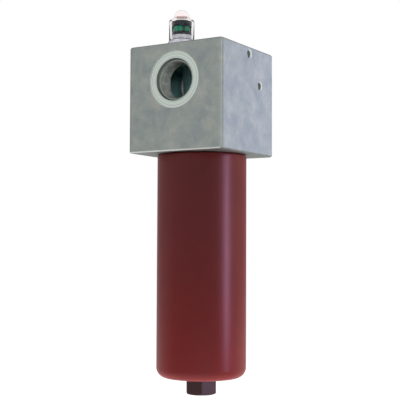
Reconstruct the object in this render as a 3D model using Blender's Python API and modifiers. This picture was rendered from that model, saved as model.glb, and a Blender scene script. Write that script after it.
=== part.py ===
"""Hydraulic pressure filter, made as a set of separate solids in metres, with +Z up.

A cube-shaped head carries two ports in line along Y and a clogging indicator on top. A long bowl screws
into the head from below and holds a pleated element, whose lower end cap carries the bypass valve.

The part's origin is on the head's right face, level with the ports. That face is the one with the two
tapped holes, and it is fixed to a machine. Everything hangs from two empties: bowl_axis, on the axis of
the bowl at the head's lower face, and indicator_axis, on the indicator's axis at its spot face.
"""

import math

import bmesh
import bpy
from mathutils import Matrix, Vector

# Clearance between pieces that touch on the real filter.
GAP = 0.0003

# How far a cutter runs past the face it cuts.
PROUD = 0.001

# Head: a block, square seen from above.
HEAD_WIDTH = 0.100
HEAD_HEIGHT = 0.099
HEAD_CORNER = 0.0035
HEAD_CHAMFER = 0.0012

# Ports, alike at the front and the back. The bore is the thread's pitch diameter. The mouth is a cone for
# the fitting's seal, which ends on a flat ring round the bore.
PORT_DROP = 0.034
PORT_BORE = 0.0347
PORT_DEPTH = 0.022
PORT_MOUTH = 0.0390
PORT_GLAND = 0.0367
PORT_GLAND_DEPTH = 0.0023
SPOTFACE_DIAMETER = 0.052
SPOTFACE_DEPTH = 0.0008

# Two tapped holes in the right face, placed from the port's axis.
TAPPED_BORE = 0.0071
TAPPED_DEPTH = 0.013
TAPPED_MOUTH = 0.0090
UPPER_HOLE = (0.0015, 0.0272)
REAR_HOLE = (0.0225, 0.0)

# Bowl: one turned piece with a hexagon on its end and a threaded neck.
BOWL_DIAMETER = 0.084
BOWL_LENGTH = 0.208
BOWL_WALL = 0.009
BOWL_FLOOR = 0.011
BOWL_CORNER = 0.0095
BOWL_STANDOFF = 0.0008
BOWL_TOP_ROUND = 0.0012
INNER_CORNER = 0.006
HEX_ACROSS_FLATS = 0.027
HEX_LENGTH = 0.0154
HEX_CHAMFER_ANGLE = math.radians(30)
HEX_END_SHARE = 0.95
HEX_TURN = math.radians(33.8)

# Neck of the bowl and the socket that takes it.
BOWL_SHOULDER = 0.003
THREAD_PITCH = 0.002
THREAD_TURNS = 8
THREAD_HEIGHT = 0.00065
THREAD_RUNOUT = 0.001
NECK_CLEARANCE = 0.002
SEAL_LAND_DROP = 0.0017
SEAL_LAND_LENGTH = 0.008
NECK_CHAMFER = 0.0008
SEAL_SECTION = 0.0020
SEAL_LIP = 0.0019
BACKUP_WIDTH = 0.0012

# Cored chamber of the head, its central duct and the clean passage inside the duct. The spigot's diameter
# is a share of the bowl's bore.
CHAMBER_STEP = 0.0036
CHAMBER_ROUND = 0.007
SPIGOT_SHARE = 16 / 33
SPIGOT_WALL = 0.0035
SPIGOT_LENGTH = 0.030
SPIGOT_END = 0.006
DUCT_STEP = 0.002
OUTLET_DUCT_WALL = 0.0045
OUTLET_PASSAGE = 0.030
INLET_CLEARANCE = 0.008

# Filter element.
ELEMENT_CLEARANCE = 0.005
ELEMENT_END_CLEARANCE = 0.0125
CAP_THICKNESS = 0.003
CAP_SKIRT = 0.0045
CAP_SHEET = 0.0008
CAP_NECK_WALL = 0.0038
CAP_NECK_LENGTH = 0.016
ELEMENT_SEAL_SECTION = 0.0018
CORE_WALL = 0.0012
PLEATS = 30
PLEAT_SHEET = 0.0008
CORE_HOLE = 0.007
CORE_ROW_PITCH = 0.028
CORE_HOLES_AROUND = 6

# Bypass valve in the element's lower end cap.
VALVE_PORT = 0.014
VALVE_OVERLAP = 0.0022
VALVE_DISC = 0.0025
VALVE_STEM = 0.005
VALVE_EDGE = 0.0005
VALVE_LIFT = 0.005
CAGE_WALL = 0.0012
VALVE_WIRE = 0.0016
VALVE_TURNS = 6
VALVE_RESERVE = 0.0075

# Indicator: its axis from the head's front face, and its seat.
INDICATOR_INSET = 0.0129
SEAT_DEPTH = 0.0005
SEAT_MARGIN = 0.0004
STEM_DIAMETER = 0.020
STEM_RELIEF = 0.0004
STEM_RELIEF_LENGTH = 0.003
STEM_SEAL_RISE = 0.002
INDICATOR_FLATS = 0.024
INDICATOR_HEX_HEIGHT = 0.0020
HEX_CORNER_STEP = 0.0014
SMALL_EDGE = 0.0003
RIM_HEIGHT = 0.0013
FLANGE_SEAL_SECTION = 0.0015
STEM_SEAL_SECTION = 0.0012
COVER_SEAL_SECTION = 0.0009
COLLAR_DIAMETER = 0.0186
COLLAR_HEIGHT = 0.0038
CUP_DEPTH = 0.0022

# Clear cover with its dome.
COVER_DIAMETER = 0.0233
COVER_WALL = 0.0017
SHOULDER_ROUND = 0.0013
DOME_DIAMETER = 0.0142
DOME_HEIGHT = 0.0070
DOME_WALL = 0.0013
CONE_HEIGHT = 0.0040

# Window frame, band and spindle behind the cover.
FRAME_HEIGHT = 0.0122
FRAME_WALL = 0.0014
WINDOW_SILL = 0.0026
WINDOW_HEIGHT = 0.0051
RIB_WIDTH = 0.0016
BAND_WALL = 0.0014
BAND_TRAVEL = 0.005
SPINDLE_DIAMETER = 0.0024
SPINDLE_BORE = 0.007
SPINDLE_FLOOR = 0.0001
SPINDLE_FLANGE = 0.0008
SPINDLE_IN_GUIDE = 0.0006
MAGNET_BORE = 0.0016
MAGNET_HEIGHT = 0.0020
BARRIER = 0.0016
BAND_WIRE = 0.0006
BAND_TURNS = 6
GUIDE_THICKNESS = 0.0025
GUIDE_CLEARANCE = 0.0015

# Sensing piston in the indicator's stem.
PISTON_BORE = 0.0096
PISTON_LENGTH = 0.0037
PISTON_TRAVEL = 0.0012
PISTON_CROWN = 0.0012
PISTON_RIM = 0.0006
PISTON_MAGNET = 0.0056
PISTON_MAGNET_HEIGHT = 0.0015
PISTON_WIRE = 0.0005
PISTON_TURNS = 3
PISTON_RESERVE = 0.0003
SPRING_SEAT_THICKNESS = 0.0009
DRILLING = 0.0024
CROSS_DRILLING = 0.0010
CROSS_DROP = 0.0024

# Ends of the drilling from the dirty side, across and back, as shares of the radius of the indicator's
# cavity at the top and of the chamber at the foot.
DIRTY_TOP_SHARE = (0.78, 0.60)
DIRTY_TOP_DROP = 0.0027
DIRTY_FOOT_SHARE = (0.40, -0.64)

# Facets round a turned piece.
FINE = 40
MEDIUM = 24
COARSE = 16
RING_SIDES = 6

# Values that follow from those above. Heights here are from the head's lower face.
PORT_HEIGHT = HEAD_HEIGHT - PORT_DROP
HALF = HEAD_WIDTH / 2
BOWL_BORE = BOWL_DIAMETER - 2 * BOWL_WALL
THREAD_DIAMETER = BOWL_DIAMETER - 2 * BOWL_SHOULDER
THREAD_CORE = THREAD_DIAMETER - 2 * THREAD_HEIGHT
BOWL_TRAVEL = THREAD_PITCH * THREAD_TURNS
THREAD_TOP = BOWL_TRAVEL + 2 * NECK_CHAMFER + THREAD_RUNOUT
NECK_TOP = THREAD_TOP + SEAL_LAND_LENGTH
SEAL_LAND = THREAD_DIAMETER - 2 * SEAL_LAND_DROP
SEAL_BORE = SEAL_LAND + 2 * GAP
SOCKET_BORE = THREAD_DIAMETER + 2 * GAP
SOCKET_TOP = NECK_TOP + NECK_CLEARANCE
CHAMBER_RADIUS = SEAL_BORE / 2 - CHAMBER_STEP
CHAMBER_ROOF = PORT_HEIGHT + PORT_BORE / 2
SPIGOT_RADIUS = BOWL_BORE / 2 * SPIGOT_SHARE
PASSAGE_RADIUS = SPIGOT_RADIUS - SPIGOT_WALL
DUCT_RADIUS = SPIGOT_RADIUS + DUCT_STEP
BOWL_BOTTOM = -BOWL_LENGTH
BOWL_FLOOR_TOP = BOWL_BOTTOM + BOWL_FLOOR

CAP_RADIUS = BOWL_BORE / 2 - ELEMENT_CLEARANCE
TOP_CAP_FACE = SPIGOT_END - GAP
PACK_TOP = TOP_CAP_FACE - CAP_THICKNESS - GAP
BOTTOM_CAP_FACE = BOWL_FLOOR_TOP + ELEMENT_END_CLEARANCE
PACK_BOTTOM = BOTTOM_CAP_FACE + CAP_THICKNESS + GAP
CORE_RADIUS = SPIGOT_RADIUS + GAP
PACK_INNER = CORE_RADIUS + GAP
PACK_OUTER = CAP_RADIUS - CAP_SHEET - GAP

SEAT_HEIGHT = HEAD_HEIGHT - SEAT_DEPTH
INDICATOR_Y = INDICATOR_INSET - HALF

# Heights on the indicator, from its spot face.
HEX_BASE = GAP
HEX_TOP = HEX_BASE + INDICATOR_HEX_HEIGHT
RIM_TOP = HEX_TOP + RIM_HEIGHT
COLLAR_BASE = RIM_TOP + COVER_SEAL_SECTION + 0.7 * GAP
COLLAR_TOP = COLLAR_BASE + COLLAR_HEIGHT
CUP_FLOOR = COLLAR_TOP - CUP_DEPTH
FRAME_BASE = COLLAR_TOP + GAP
FRAME_TOP = FRAME_BASE + FRAME_HEIGHT
WINDOW_BASE = FRAME_BASE + WINDOW_SILL
WINDOW_TOP = WINDOW_BASE + WINDOW_HEIGHT
COVER_BASE = RIM_TOP + GAP
COVER_RADIUS = COVER_DIAMETER / 2
COVER_INNER = COVER_RADIUS - COVER_WALL
CONE_BASE = FRAME_TOP + GAP
DOME_BASE = CONE_BASE + CONE_HEIGHT
DOME_INNER = DOME_DIAMETER / 2 - DOME_WALL
DOME_INNER_TOP = DOME_BASE + DOME_HEIGHT - DOME_WALL
BAND_RADIUS = COLLAR_DIAMETER / 2 - FRAME_WALL - GAP
BAND_BASE = CUP_FLOOR + GAP
BAND_TOP = WINDOW_TOP + GAP / 2
STEM_RADIUS = STEM_DIAMETER / 2
SEAT_RADIUS = INDICATOR_FLATS / 2 + HEX_CORNER_STEP + SEAT_MARGIN
PISTON_BORE_TOP = SPINDLE_FLOOR - BARRIER
PISTON_TOP = PISTON_BORE_TOP - GAP
PISTON_BOTTOM = PISTON_TOP - PISTON_LENGTH
PISTON_SPRING_LENGTH = PISTON_WIRE * PISTON_TURNS + PISTON_TRAVEL + PISTON_RESERVE
SPRING_SEAT_TOP = PISTON_BOTTOM - PISTON_SPRING_LENGTH - 2 * GAP
STEM_BOTTOM = SPRING_SEAT_TOP - SPRING_SEAT_THICKNESS
GUIDE_BASE = BAND_TOP + BAND_TRAVEL + GUIDE_CLEARANCE

CAVITY_RADIUS = STEM_RADIUS + GAP
CAVITY_FLOOR = STEM_BOTTOM - GAP


def clear_scene():
    for obj in list(bpy.data.objects):
        bpy.data.objects.remove(obj, do_unlink=True)


def make_collection(name):
    collection = bpy.data.collections.new(name)
    bpy.context.scene.collection.children.link(collection)
    return collection


clear_scene()
PARTS = make_collection("hydraulic_pressure_filter")
CUTTERS = make_collection("cutters")


def make_empty(name, location, parent=None):
    empty = bpy.data.objects.new(name, None)
    empty.empty_display_size = 0.02
    empty.location = location
    empty.parent = parent
    PARTS.objects.link(empty)
    return empty


BOWL_AXIS = make_empty("bowl_axis", (-HALF, 0, -PORT_HEIGHT))
INDICATOR_AXIS = make_empty("indicator_axis", (0, INDICATOR_Y, SEAT_HEIGHT), BOWL_AXIS)


def finish(name, colour, roughness, metallic, alpha=1.0):
    """A material with the finish's colour, roughness and metallic value."""
    material = bpy.data.materials.new(name)
    material.use_nodes = True
    shader = material.node_tree.nodes["Principled BSDF"]
    shader.inputs["Base Color"].default_value = (*colour, 1)
    shader.inputs["Roughness"].default_value = roughness
    shader.inputs["Metallic"].default_value = metallic
    shader.inputs["Alpha"].default_value = alpha
    material.diffuse_color = (*colour, alpha)
    return material


BLASTED_METAL = finish("blasted_metal", (0.30, 0.32, 0.31), 0.55, 0.8)
RED_PAINT = finish("red_paint", (0.20, 0.02, 0.02), 0.4, 0.0)
BRIGHT_STEEL = finish("bright_steel", (0.60, 0.62, 0.64), 0.25, 1.0)
ZINC_SHEET = finish("zinc_sheet", (0.50, 0.52, 0.54), 0.4, 1.0)
SPRING_STEEL = finish("spring_steel", (0.35, 0.35, 0.36), 0.3, 1.0)
MAGNET = finish("magnet", (0.12, 0.12, 0.13), 0.4, 0.8)
SEAL_RUBBER = finish("seal_rubber", (0.02, 0.02, 0.02), 0.6, 0.0)
WHITE_PLASTIC = finish("white_plastic", (0.80, 0.78, 0.72), 0.4, 0.0)
PLEAT_MEDIA = finish("pleat_media", (0.75, 0.72, 0.62), 0.8, 0.0)
BLACK_PLASTIC = finish("black_plastic", (0.02, 0.02, 0.03), 0.4, 0.0)
GREEN_PLASTIC = finish("green_plastic", (0.02, 0.28, 0.13), 0.4, 0.0)
CLEAR_PLASTIC = finish("clear_plastic", (0.90, 0.92, 0.92), 0.05, 0.0, 0.3)
PINK_PLASTIC = finish("pink_plastic", (0.80, 0.45, 0.38), 0.35, 0.0)


def add_object(name, data, parent, material, height=0.0):
    """Places a mesh or curve on its parent's axis. No material makes it a cutter."""
    obj = bpy.data.objects.new(name, data)
    obj.parent = parent
    obj.location = (0, 0, height)
    if material is None:
        CUTTERS.objects.link(obj)
        obj.hide_render = True
        obj.display_type = "WIRE"
    else:
        PARTS.objects.link(obj)
        data.materials.append(material)
    return obj


def arc(centre, radii, start, end, count):
    """Points (radius, height) along a quarter or other piece of an ellipse, angles in degrees."""
    points = []
    for i in range(count + 1):
        angle = math.radians(start + (end - start) * i / count)
        points.append((centre[0] + radii[0] * math.cos(angle), centre[1] + radii[1] * math.sin(angle)))
    return points


def turned(name, profile, parent, material, steps=MEDIUM, height=0.0):
    """A piece turned about Z. The profile runs down its outer side, and off the axis it closes itself."""
    mesh = bpy.data.meshes.new(name)
    bm = bmesh.new()
    verts = [bm.verts.new((radius, 0, z)) for radius, z in profile]
    for first, second in zip(verts, verts[1:]):
        bm.edges.new((first, second))
    if profile[0][0] > 0:
        bm.edges.new((verts[-1], verts[0]))
    bm.to_mesh(mesh)
    bm.free()
    obj = add_object(name, mesh, parent, material, height)
    screw = obj.modifiers.new("turn", "SCREW")
    screw.angle = math.tau
    screw.steps = steps
    screw.render_steps = steps
    screw.use_merge_vertices = True
    screw.merge_threshold = 0.000001
    return obj


def tube(name, inner, outer, low, high, parent, material, steps=MEDIUM):
    return turned(name, [(inner, high), (outer, high), (outer, low), (inner, low)], parent, material, steps)


def prism(name, radius, start, end, parent, material, sides=MEDIUM, turn=0.0):
    """A straight bar of any number of sides between two points."""
    start, end = Vector(start), Vector(end)
    mesh = bpy.data.meshes.new(name)
    bm = bmesh.new()
    place = (end - start).to_track_quat("Z", "Y").to_matrix().to_4x4()
    place.translation = (start + end) / 2
    bmesh.ops.create_cone(
        bm,
        cap_ends=True,
        segments=sides,
        radius1=radius,
        radius2=radius,
        depth=(end - start).length,
        matrix=place @ Matrix.Rotation(turn, 4, "Z"),
    )
    bm.to_mesh(mesh)
    bm.free()
    return add_object(name, mesh, parent, material)


def box(name, low, high, parent, material, turn=0.0):
    mesh = bpy.data.meshes.new(name)
    bm = bmesh.new()
    low, high = Vector(low), Vector(high)
    size = Matrix.Diagonal((*(high - low), 1))
    bmesh.ops.create_cube(bm, size=1, matrix=Matrix.Translation((low + high) / 2) @ size)
    bmesh.ops.rotate(bm, cent=(0, 0, 0), matrix=Matrix.Rotation(turn, 3, "Z"), verts=bm.verts)
    bm.to_mesh(mesh)
    bm.free()
    return add_object(name, mesh, parent, material)


def combine(obj, other, operation):
    """A Boolean of one object with another, DIFFERENCE, UNION or INTERSECT."""
    modifier = obj.modifiers.new(f"{operation.lower()} {other.name}", "BOOLEAN")
    modifier.operation = operation
    modifier.object = other
    modifier.solver = "EXACT"


def cut_with_all(obj, cutters):
    """Cuts with several cutters in one Boolean, so that their crossings are worked out together."""
    group = bpy.data.collections.new(f"{obj.name} cutters")
    CUTTERS.children.link(group)
    for cutter in cutters:
        CUTTERS.objects.unlink(cutter)
        group.objects.link(cutter)
    modifier = obj.modifiers.new("cut", "BOOLEAN")
    modifier.operation = "DIFFERENCE"
    modifier.operand_type = "COLLECTION"
    modifier.collection = group
    modifier.solver = "EXACT"


def o_ring(name, radius, section, height, parent, steps=MEDIUM):
    """A ring of round section, whose centre line has the given radius and height."""
    profile = arc((radius, height), (section / 2, section / 2), 90, -270, RING_SIDES)[:-1]
    return turned(name, profile, parent, SEAL_RUBBER, steps)


def coil_height(turn, turns, length, wire):
    """Height of a spring's wire after some of its turns, with closed turns at both ends."""
    closed = wire * 1.15
    open_pitch = (length - wire - 2 * closed) / (turns - 2)
    if turn < 1:
        rise = turn * closed
    elif turn < turns - 1:
        rise = closed + (turn - 1) * open_pitch
    else:
        rise = length - wire - (turns - turn) * closed
    return wire / 2 + rise


def spring(name, radius, wire, turns, base, top, parent, points_per_turn=8):
    """A compression spring, as a curve along its helix."""
    curve = bpy.data.curves.new(name, "CURVE")
    curve.dimensions = "3D"
    curve.bevel_depth = wire / 2
    curve.bevel_resolution = 1
    curve.use_fill_caps = True
    spline = curve.splines.new("POLY")
    count = turns * points_per_turn + 1
    spline.points.add(count - 1)
    for i, point in enumerate(spline.points):
        angle = math.tau * i / points_per_turn
        z = coil_height(i / points_per_turn, turns, top - base, wire)
        point.co = (radius * math.cos(angle), radius * math.sin(angle), z, 1)
    return add_object(name, curve, parent, SPRING_STEEL, base)


def hexagon(name, flats, low, high, turning, parent, turn=0.0):
    """A hexagonal bar cut to the given turned outline, which takes its corners off."""
    corner = flats / 2 / math.cos(math.pi / 6)
    bar = prism(name, corner, (0, 0, low), (0, 0, high), parent, None, 6, turn)
    cone = turned(name + "_turning", turning, parent, None, MEDIUM)
    combine(bar, cone, "INTERSECT")
    return bar


def head_block():
    """The rounded block, before anything is cut in it."""
    mesh = bpy.data.meshes.new("filter_head")
    bm = bmesh.new()
    size = Matrix.Diagonal((HEAD_WIDTH, HEAD_WIDTH, HEAD_HEIGHT, 1))
    bmesh.ops.create_cube(bm, size=1, matrix=Matrix.Translation((0, 0, HEAD_HEIGHT / 2)) @ size)
    upright = [edge for edge in bm.edges if abs(edge.verts[0].co.z - edge.verts[1].co.z) > HALF]
    bmesh.ops.bevel(bm, geom=upright, offset=HEAD_CORNER, segments=4, profile=0.5, affect="EDGES")
    level = [edge for edge in bm.edges if abs(edge.verts[0].co.z - edge.verts[1].co.z) < GAP]
    bmesh.ops.bevel(bm, geom=level, offset=HEAD_CHAMFER, segments=1, profile=0.5, affect="EDGES")
    bm.to_mesh(mesh)
    bm.free()
    return add_object("filter_head", mesh, BOWL_AXIS, BLASTED_METAL)


def head_chamber():
    """Cutter for the bowl's socket and the cored chamber above it, less the ducts that cross it."""
    roof = arc(
        (CHAMBER_RADIUS - CHAMBER_ROUND, CHAMBER_ROOF - CHAMBER_ROUND),
        (CHAMBER_ROUND, CHAMBER_ROUND),
        90,
        0,
        3,
    )
    profile = [
        (0, CHAMBER_ROOF),
        *roof,
        (CHAMBER_RADIUS, SOCKET_TOP),
        (SEAL_BORE / 2, SOCKET_TOP),
        (SEAL_BORE / 2, THREAD_TOP + GAP),
        (SOCKET_BORE / 2, THREAD_TOP + GAP),
        (SOCKET_BORE / 2, NECK_CHAMFER),
        (SOCKET_BORE / 2 + NECK_CHAMFER, 0),
        (SOCKET_BORE / 2 + NECK_CHAMFER, -PROUD),
        (0, -PROUD),
    ]
    chamber = turned("head_chamber", profile, BOWL_AXIS, None, FINE)
    spigot_top = SPIGOT_END + SPIGOT_LENGTH
    duct = turned(
        "central_duct",
        [
            (0, HEAD_HEIGHT),
            (DUCT_RADIUS + DUCT_STEP, HEAD_HEIGHT),
            (DUCT_RADIUS, PORT_HEIGHT),
            (DUCT_RADIUS, spigot_top + DUCT_STEP),
            (SPIGOT_RADIUS, spigot_top),
            (SPIGOT_RADIUS, SPIGOT_END + NECK_CHAMFER),
            (SPIGOT_RADIUS - NECK_CHAMFER, SPIGOT_END),
            (0, SPIGOT_END),
        ],
        BOWL_AXIS,
        None,
        MEDIUM,
    )
    outlet_duct = prism(
        "outlet_duct",
        OUTLET_PASSAGE / 2 + OUTLET_DUCT_WALL,
        (0, 0, PORT_HEIGHT),
        (0, HALF, PORT_HEIGHT),
        BOWL_AXIS,
        None,
        MEDIUM,
        math.pi / MEDIUM,
    )
    cut_with_all(chamber, [duct, outlet_duct])
    return chamber


def clean_passages():
    """Cutters for the clean side: up through the spigot and out, with a narrow pocket up to the drilling."""
    pocket = PASSAGE_RADIUS / 2
    profile = [
        (0, SEAT_HEIGHT + CAVITY_FLOOR),
        (pocket, SEAT_HEIGHT + CAVITY_FLOOR),
        (pocket, PORT_HEIGHT + OUTLET_PASSAGE / 2 + DUCT_STEP),
        (PASSAGE_RADIUS, PORT_HEIGHT),
        (PASSAGE_RADIUS, SPIGOT_END - PROUD),
        (0, SPIGOT_END - PROUD),
    ]
    passage = turned("clean_passage", profile, BOWL_AXIS, None, MEDIUM)
    outlet_passage = prism(
        "outlet_passage",
        OUTLET_PASSAGE / 2,
        (0, 0, PORT_HEIGHT),
        (0, HALF - PORT_DEPTH + PROUD, PORT_HEIGHT),
        BOWL_AXIS,
        None,
        MEDIUM,
        math.pi / MEDIUM,
    )
    return passage, outlet_passage


def port_cutter(name, side, inner_end):
    """Cutter for one port: spot face, seal cone and bore. Side is -1 at the front and 1 at the back."""
    face = HALF - SPOTFACE_DEPTH
    gland = face - PORT_GLAND_DEPTH
    profile = [
        (0, HALF + PROUD),
        (SPOTFACE_DIAMETER / 2, HALF + PROUD),
        (SPOTFACE_DIAMETER / 2, face),
        (PORT_MOUTH / 2, face),
        (PORT_GLAND / 2, gland),
        (PORT_BORE / 2, gland),
        (PORT_BORE / 2, inner_end),
        (0, inner_end),
    ]
    cutter = turned(name, profile, BOWL_AXIS, None, FINE)
    cutter.location = (0, 0, PORT_HEIGHT)
    cutter.rotation_euler = (-side * math.pi / 2, 0, 0)
    return cutter


def tapped_hole(name, across, up):
    """Cutter for one tapped hole in the right face, with its countersink and the drill's cone."""
    chamfer = (TAPPED_MOUTH - TAPPED_BORE) / 2
    profile = [
        (0, HALF + PROUD),
        (TAPPED_MOUTH / 2, HALF + PROUD),
        (TAPPED_MOUTH / 2, HALF),
        (TAPPED_BORE / 2, HALF - chamfer),
        (TAPPED_BORE / 2, HALF - TAPPED_DEPTH),
        (0, HALF - TAPPED_DEPTH - TAPPED_BORE / 4),
    ]
    cutter = turned(name, profile, BOWL_AXIS, None, COARSE)
    cutter.location = (0, across, PORT_HEIGHT + up)
    cutter.rotation_euler = (0, math.pi / 2, 0)
    return cutter


def indicator_cavity():
    """Cutter for the indicator's spot face, the seal's counterbore and the stem's bore."""
    counterbore = STEM_RADIUS + FLANGE_SEAL_SECTION + 2.2 * GAP
    shelf = HEX_BASE - FLANGE_SEAL_SECTION - 2.2 * GAP
    profile = [
        (0, SEAT_DEPTH + PROUD),
        (SEAT_RADIUS, SEAT_DEPTH + PROUD),
        (SEAT_RADIUS, 0),
        (counterbore, 0),
        (counterbore, shelf),
        (CAVITY_RADIUS, shelf),
        (CAVITY_RADIUS, CAVITY_FLOOR),
        (0, CAVITY_FLOOR),
    ]
    return turned("indicator_cavity", profile, INDICATOR_AXIS, None, MEDIUM)


def sensing_drillings():
    """Cutters for the two drillings that bring the indicator the pressures on both sides of the element."""
    floor = SEAT_HEIGHT + CAVITY_FLOOR
    cavity_edge = INDICATOR_Y + CAVITY_RADIUS
    clean = prism(
        "clean_drilling",
        DRILLING / 2,
        (0, cavity_edge - DRILLING, floor + DRILLING / 4),
        (0, -PASSAGE_RADIUS / 4, floor - DRILLING / 2),
        BOWL_AXIS,
        None,
        8,
    )
    across, back = (CAVITY_RADIUS * share for share in DIRTY_TOP_SHARE)
    start = (across, INDICATOR_Y + back, SEAT_HEIGHT - DIRTY_TOP_DROP)
    across, back = (CHAMBER_RADIUS * share for share in DIRTY_FOOT_SHARE)
    end = (across, back, CHAMBER_ROOF - DRILLING)
    dirty = prism("dirty_drilling", DRILLING / 2, start, end, BOWL_AXIS, None, 8)
    return clean, dirty


def make_head():
    head = head_block()
    cutters = [
        head_chamber(),
        *clean_passages(),
        port_cutter("inlet_port", -1, DUCT_RADIUS + INLET_CLEARANCE),
        port_cutter("outlet_port", 1, HALF - PORT_DEPTH),
        tapped_hole("upper_tapped_hole", *UPPER_HOLE),
        tapped_hole("rear_tapped_hole", *REAR_HOLE),
        indicator_cavity(),
        *sensing_drillings(),
    ]
    cut_with_all(head, cutters)


def seal_groove():
    """Floor radius, lower edge and upper edge of the groove for the bowl's seals."""
    floor = SEAL_LAND / 2 - SEAL_SECTION - GAP
    top = NECK_TOP - SEAL_LIP
    bottom = top - SEAL_SECTION - BACKUP_WIDTH - 3 * GAP
    return floor, bottom, top


def make_bowl():
    """Turned outside with its seal groove, a hexagon joined to the end, and the bore cut last."""
    groove_floor, groove_bottom, groove_top = seal_groove()
    core = THREAD_CORE / 2
    radius = BOWL_DIAMETER / 2
    shoulder = -BOWL_STANDOFF
    relief = core - THREAD_HEIGHT
    corner = arc((radius - BOWL_CORNER, BOWL_BOTTOM + BOWL_CORNER), (BOWL_CORNER, BOWL_CORNER), 0, -90, 5)
    top_round = arc(
        (radius - BOWL_TOP_ROUND, shoulder - BOWL_TOP_ROUND), (BOWL_TOP_ROUND, BOWL_TOP_ROUND), 90, 0, 2
    )
    profile = [
        (0, NECK_TOP),
        (SEAL_LAND / 2 - NECK_CHAMFER, NECK_TOP),
        (SEAL_LAND / 2, NECK_TOP - NECK_CHAMFER),
        (SEAL_LAND / 2, groove_top),
        (groove_floor, groove_top),
        (groove_floor, groove_bottom),
        (SEAL_LAND / 2, groove_bottom),
        (SEAL_LAND / 2, THREAD_TOP),
        (core - NECK_CHAMFER, THREAD_TOP),
        (core, THREAD_TOP - NECK_CHAMFER),
        (core, NECK_CHAMFER),
        (relief, NECK_CHAMFER),
        (relief, shoulder),
        *top_round,
        *corner,
        (0, BOWL_BOTTOM),
    ]
    bowl = turned("filter_bowl", profile, BOWL_AXIS, RED_PAINT, FINE)
    end = BOWL_BOTTOM - HEX_LENGTH
    corner_radius = HEX_ACROSS_FLATS / 2 / math.cos(math.pi / 6)
    face_radius = HEX_ACROSS_FLATS / 2 * HEX_END_SHARE
    reach = corner_radius + PROUD
    top = BOWL_BOTTOM + PROUD
    turning = [
        (0, top),
        (reach, top),
        (reach, end + (reach - face_radius) * math.tan(HEX_CHAMFER_ANGLE)),
        (face_radius, end),
        (0, end),
    ]
    flats = hexagon("bowl_hexagon", HEX_ACROSS_FLATS, end, top, turning, BOWL_AXIS, HEX_TURN)
    combine(bowl, flats, "UNION")
    bore = BOWL_BORE / 2
    centre = (bore - INNER_CORNER, BOWL_FLOOR_TOP + INNER_CORNER)
    bore_profile = [
        (0, NECK_TOP + PROUD),
        (bore + NECK_CHAMFER, NECK_TOP + PROUD),
        (bore + NECK_CHAMFER, NECK_TOP),
        (bore, NECK_TOP - NECK_CHAMFER),
        *arc(centre, (INNER_CORNER, INNER_CORNER), 0, -90, 3),
        (0, BOWL_FLOOR_TOP),
    ]
    combine(bowl, turned("bowl_bore", bore_profile, BOWL_AXIS, None, FINE), "DIFFERENCE")


def make_bowl_seals():
    """The O-ring, and below it, away from the pressure, the backup ring."""
    floor, bottom, top = seal_groove()
    middle = (floor + SEAL_BORE / 2) / 2
    o_ring("bowl_o_ring", middle, SEAL_SECTION, top - GAP - SEAL_SECTION / 2, BOWL_AXIS, FINE)
    inner = middle - SEAL_SECTION / 2
    outer = middle + SEAL_SECTION / 2
    low = bottom + GAP
    high = low + BACKUP_WIDTH
    tube("bowl_backup_ring", inner, outer, low, high, BOWL_AXIS, WHITE_PLASTIC, FINE)


def make_top_cap():
    """End cap with a skirt round the pleats and a neck that slides on the head's spigot."""
    bore = SPIGOT_RADIUS + GAP
    neck = bore + CAP_NECK_WALL
    under = TOP_CAP_FACE - CAP_THICKNESS
    neck_top = TOP_CAP_FACE + CAP_NECK_LENGTH
    groove_floor = bore + ELEMENT_SEAL_SECTION + GAP
    groove_base = TOP_CAP_FACE + CAP_NECK_LENGTH / 2 - ELEMENT_SEAL_SECTION / 2 - GAP
    groove_top = groove_base + ELEMENT_SEAL_SECTION + 2 * GAP
    flow_hole = PASSAGE_RADIUS
    edge = CAP_THICKNESS / 2
    profile = [
        (bore + NECK_CHAMFER, neck_top),
        (neck, neck_top),
        (neck, TOP_CAP_FACE + edge),
        (neck + edge, TOP_CAP_FACE),
        (CAP_RADIUS - edge, TOP_CAP_FACE),
        (CAP_RADIUS, TOP_CAP_FACE - edge),
        (CAP_RADIUS, under - CAP_SKIRT),
        (CAP_RADIUS - CAP_SHEET, under - CAP_SKIRT),
        (CAP_RADIUS - CAP_SHEET, under),
        (flow_hole, under),
        (flow_hole, TOP_CAP_FACE),
        (bore, TOP_CAP_FACE),
        (bore, groove_base),
        (groove_floor, groove_base),
        (groove_floor, groove_top),
        (bore, groove_top),
        (bore, neck_top - NECK_CHAMFER),
    ]
    turned("element_top_cap", profile, BOWL_AXIS, ZINC_SHEET, MEDIUM)
    middle = SPIGOT_RADIUS + GAP + ELEMENT_SEAL_SECTION / 2 + GAP / 2
    o_ring("element_o_ring", middle, ELEMENT_SEAL_SECTION, (groove_base + groove_top) / 2, BOWL_AXIS, MEDIUM)


def make_bottom_cap():
    """End cap with the seat of the bypass valve in its middle."""
    upper = BOTTOM_CAP_FACE + CAP_THICKNESS
    edge = CAP_THICKNESS / 2
    seat = VALVE_PORT / 2
    profile = [
        (seat + NECK_CHAMFER, upper),
        (CAP_RADIUS - CAP_SHEET, upper),
        (CAP_RADIUS - CAP_SHEET, upper + CAP_SKIRT),
        (CAP_RADIUS, upper + CAP_SKIRT),
        (CAP_RADIUS, BOTTOM_CAP_FACE + edge),
        (CAP_RADIUS - edge, BOTTOM_CAP_FACE),
        (seat + NECK_CHAMFER, BOTTOM_CAP_FACE),
        (seat, BOTTOM_CAP_FACE + NECK_CHAMFER),
        (seat, upper - NECK_CHAMFER),
    ]
    turned("element_bottom_cap", profile, BOWL_AXIS, ZINC_SHEET, MEDIUM)


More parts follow.
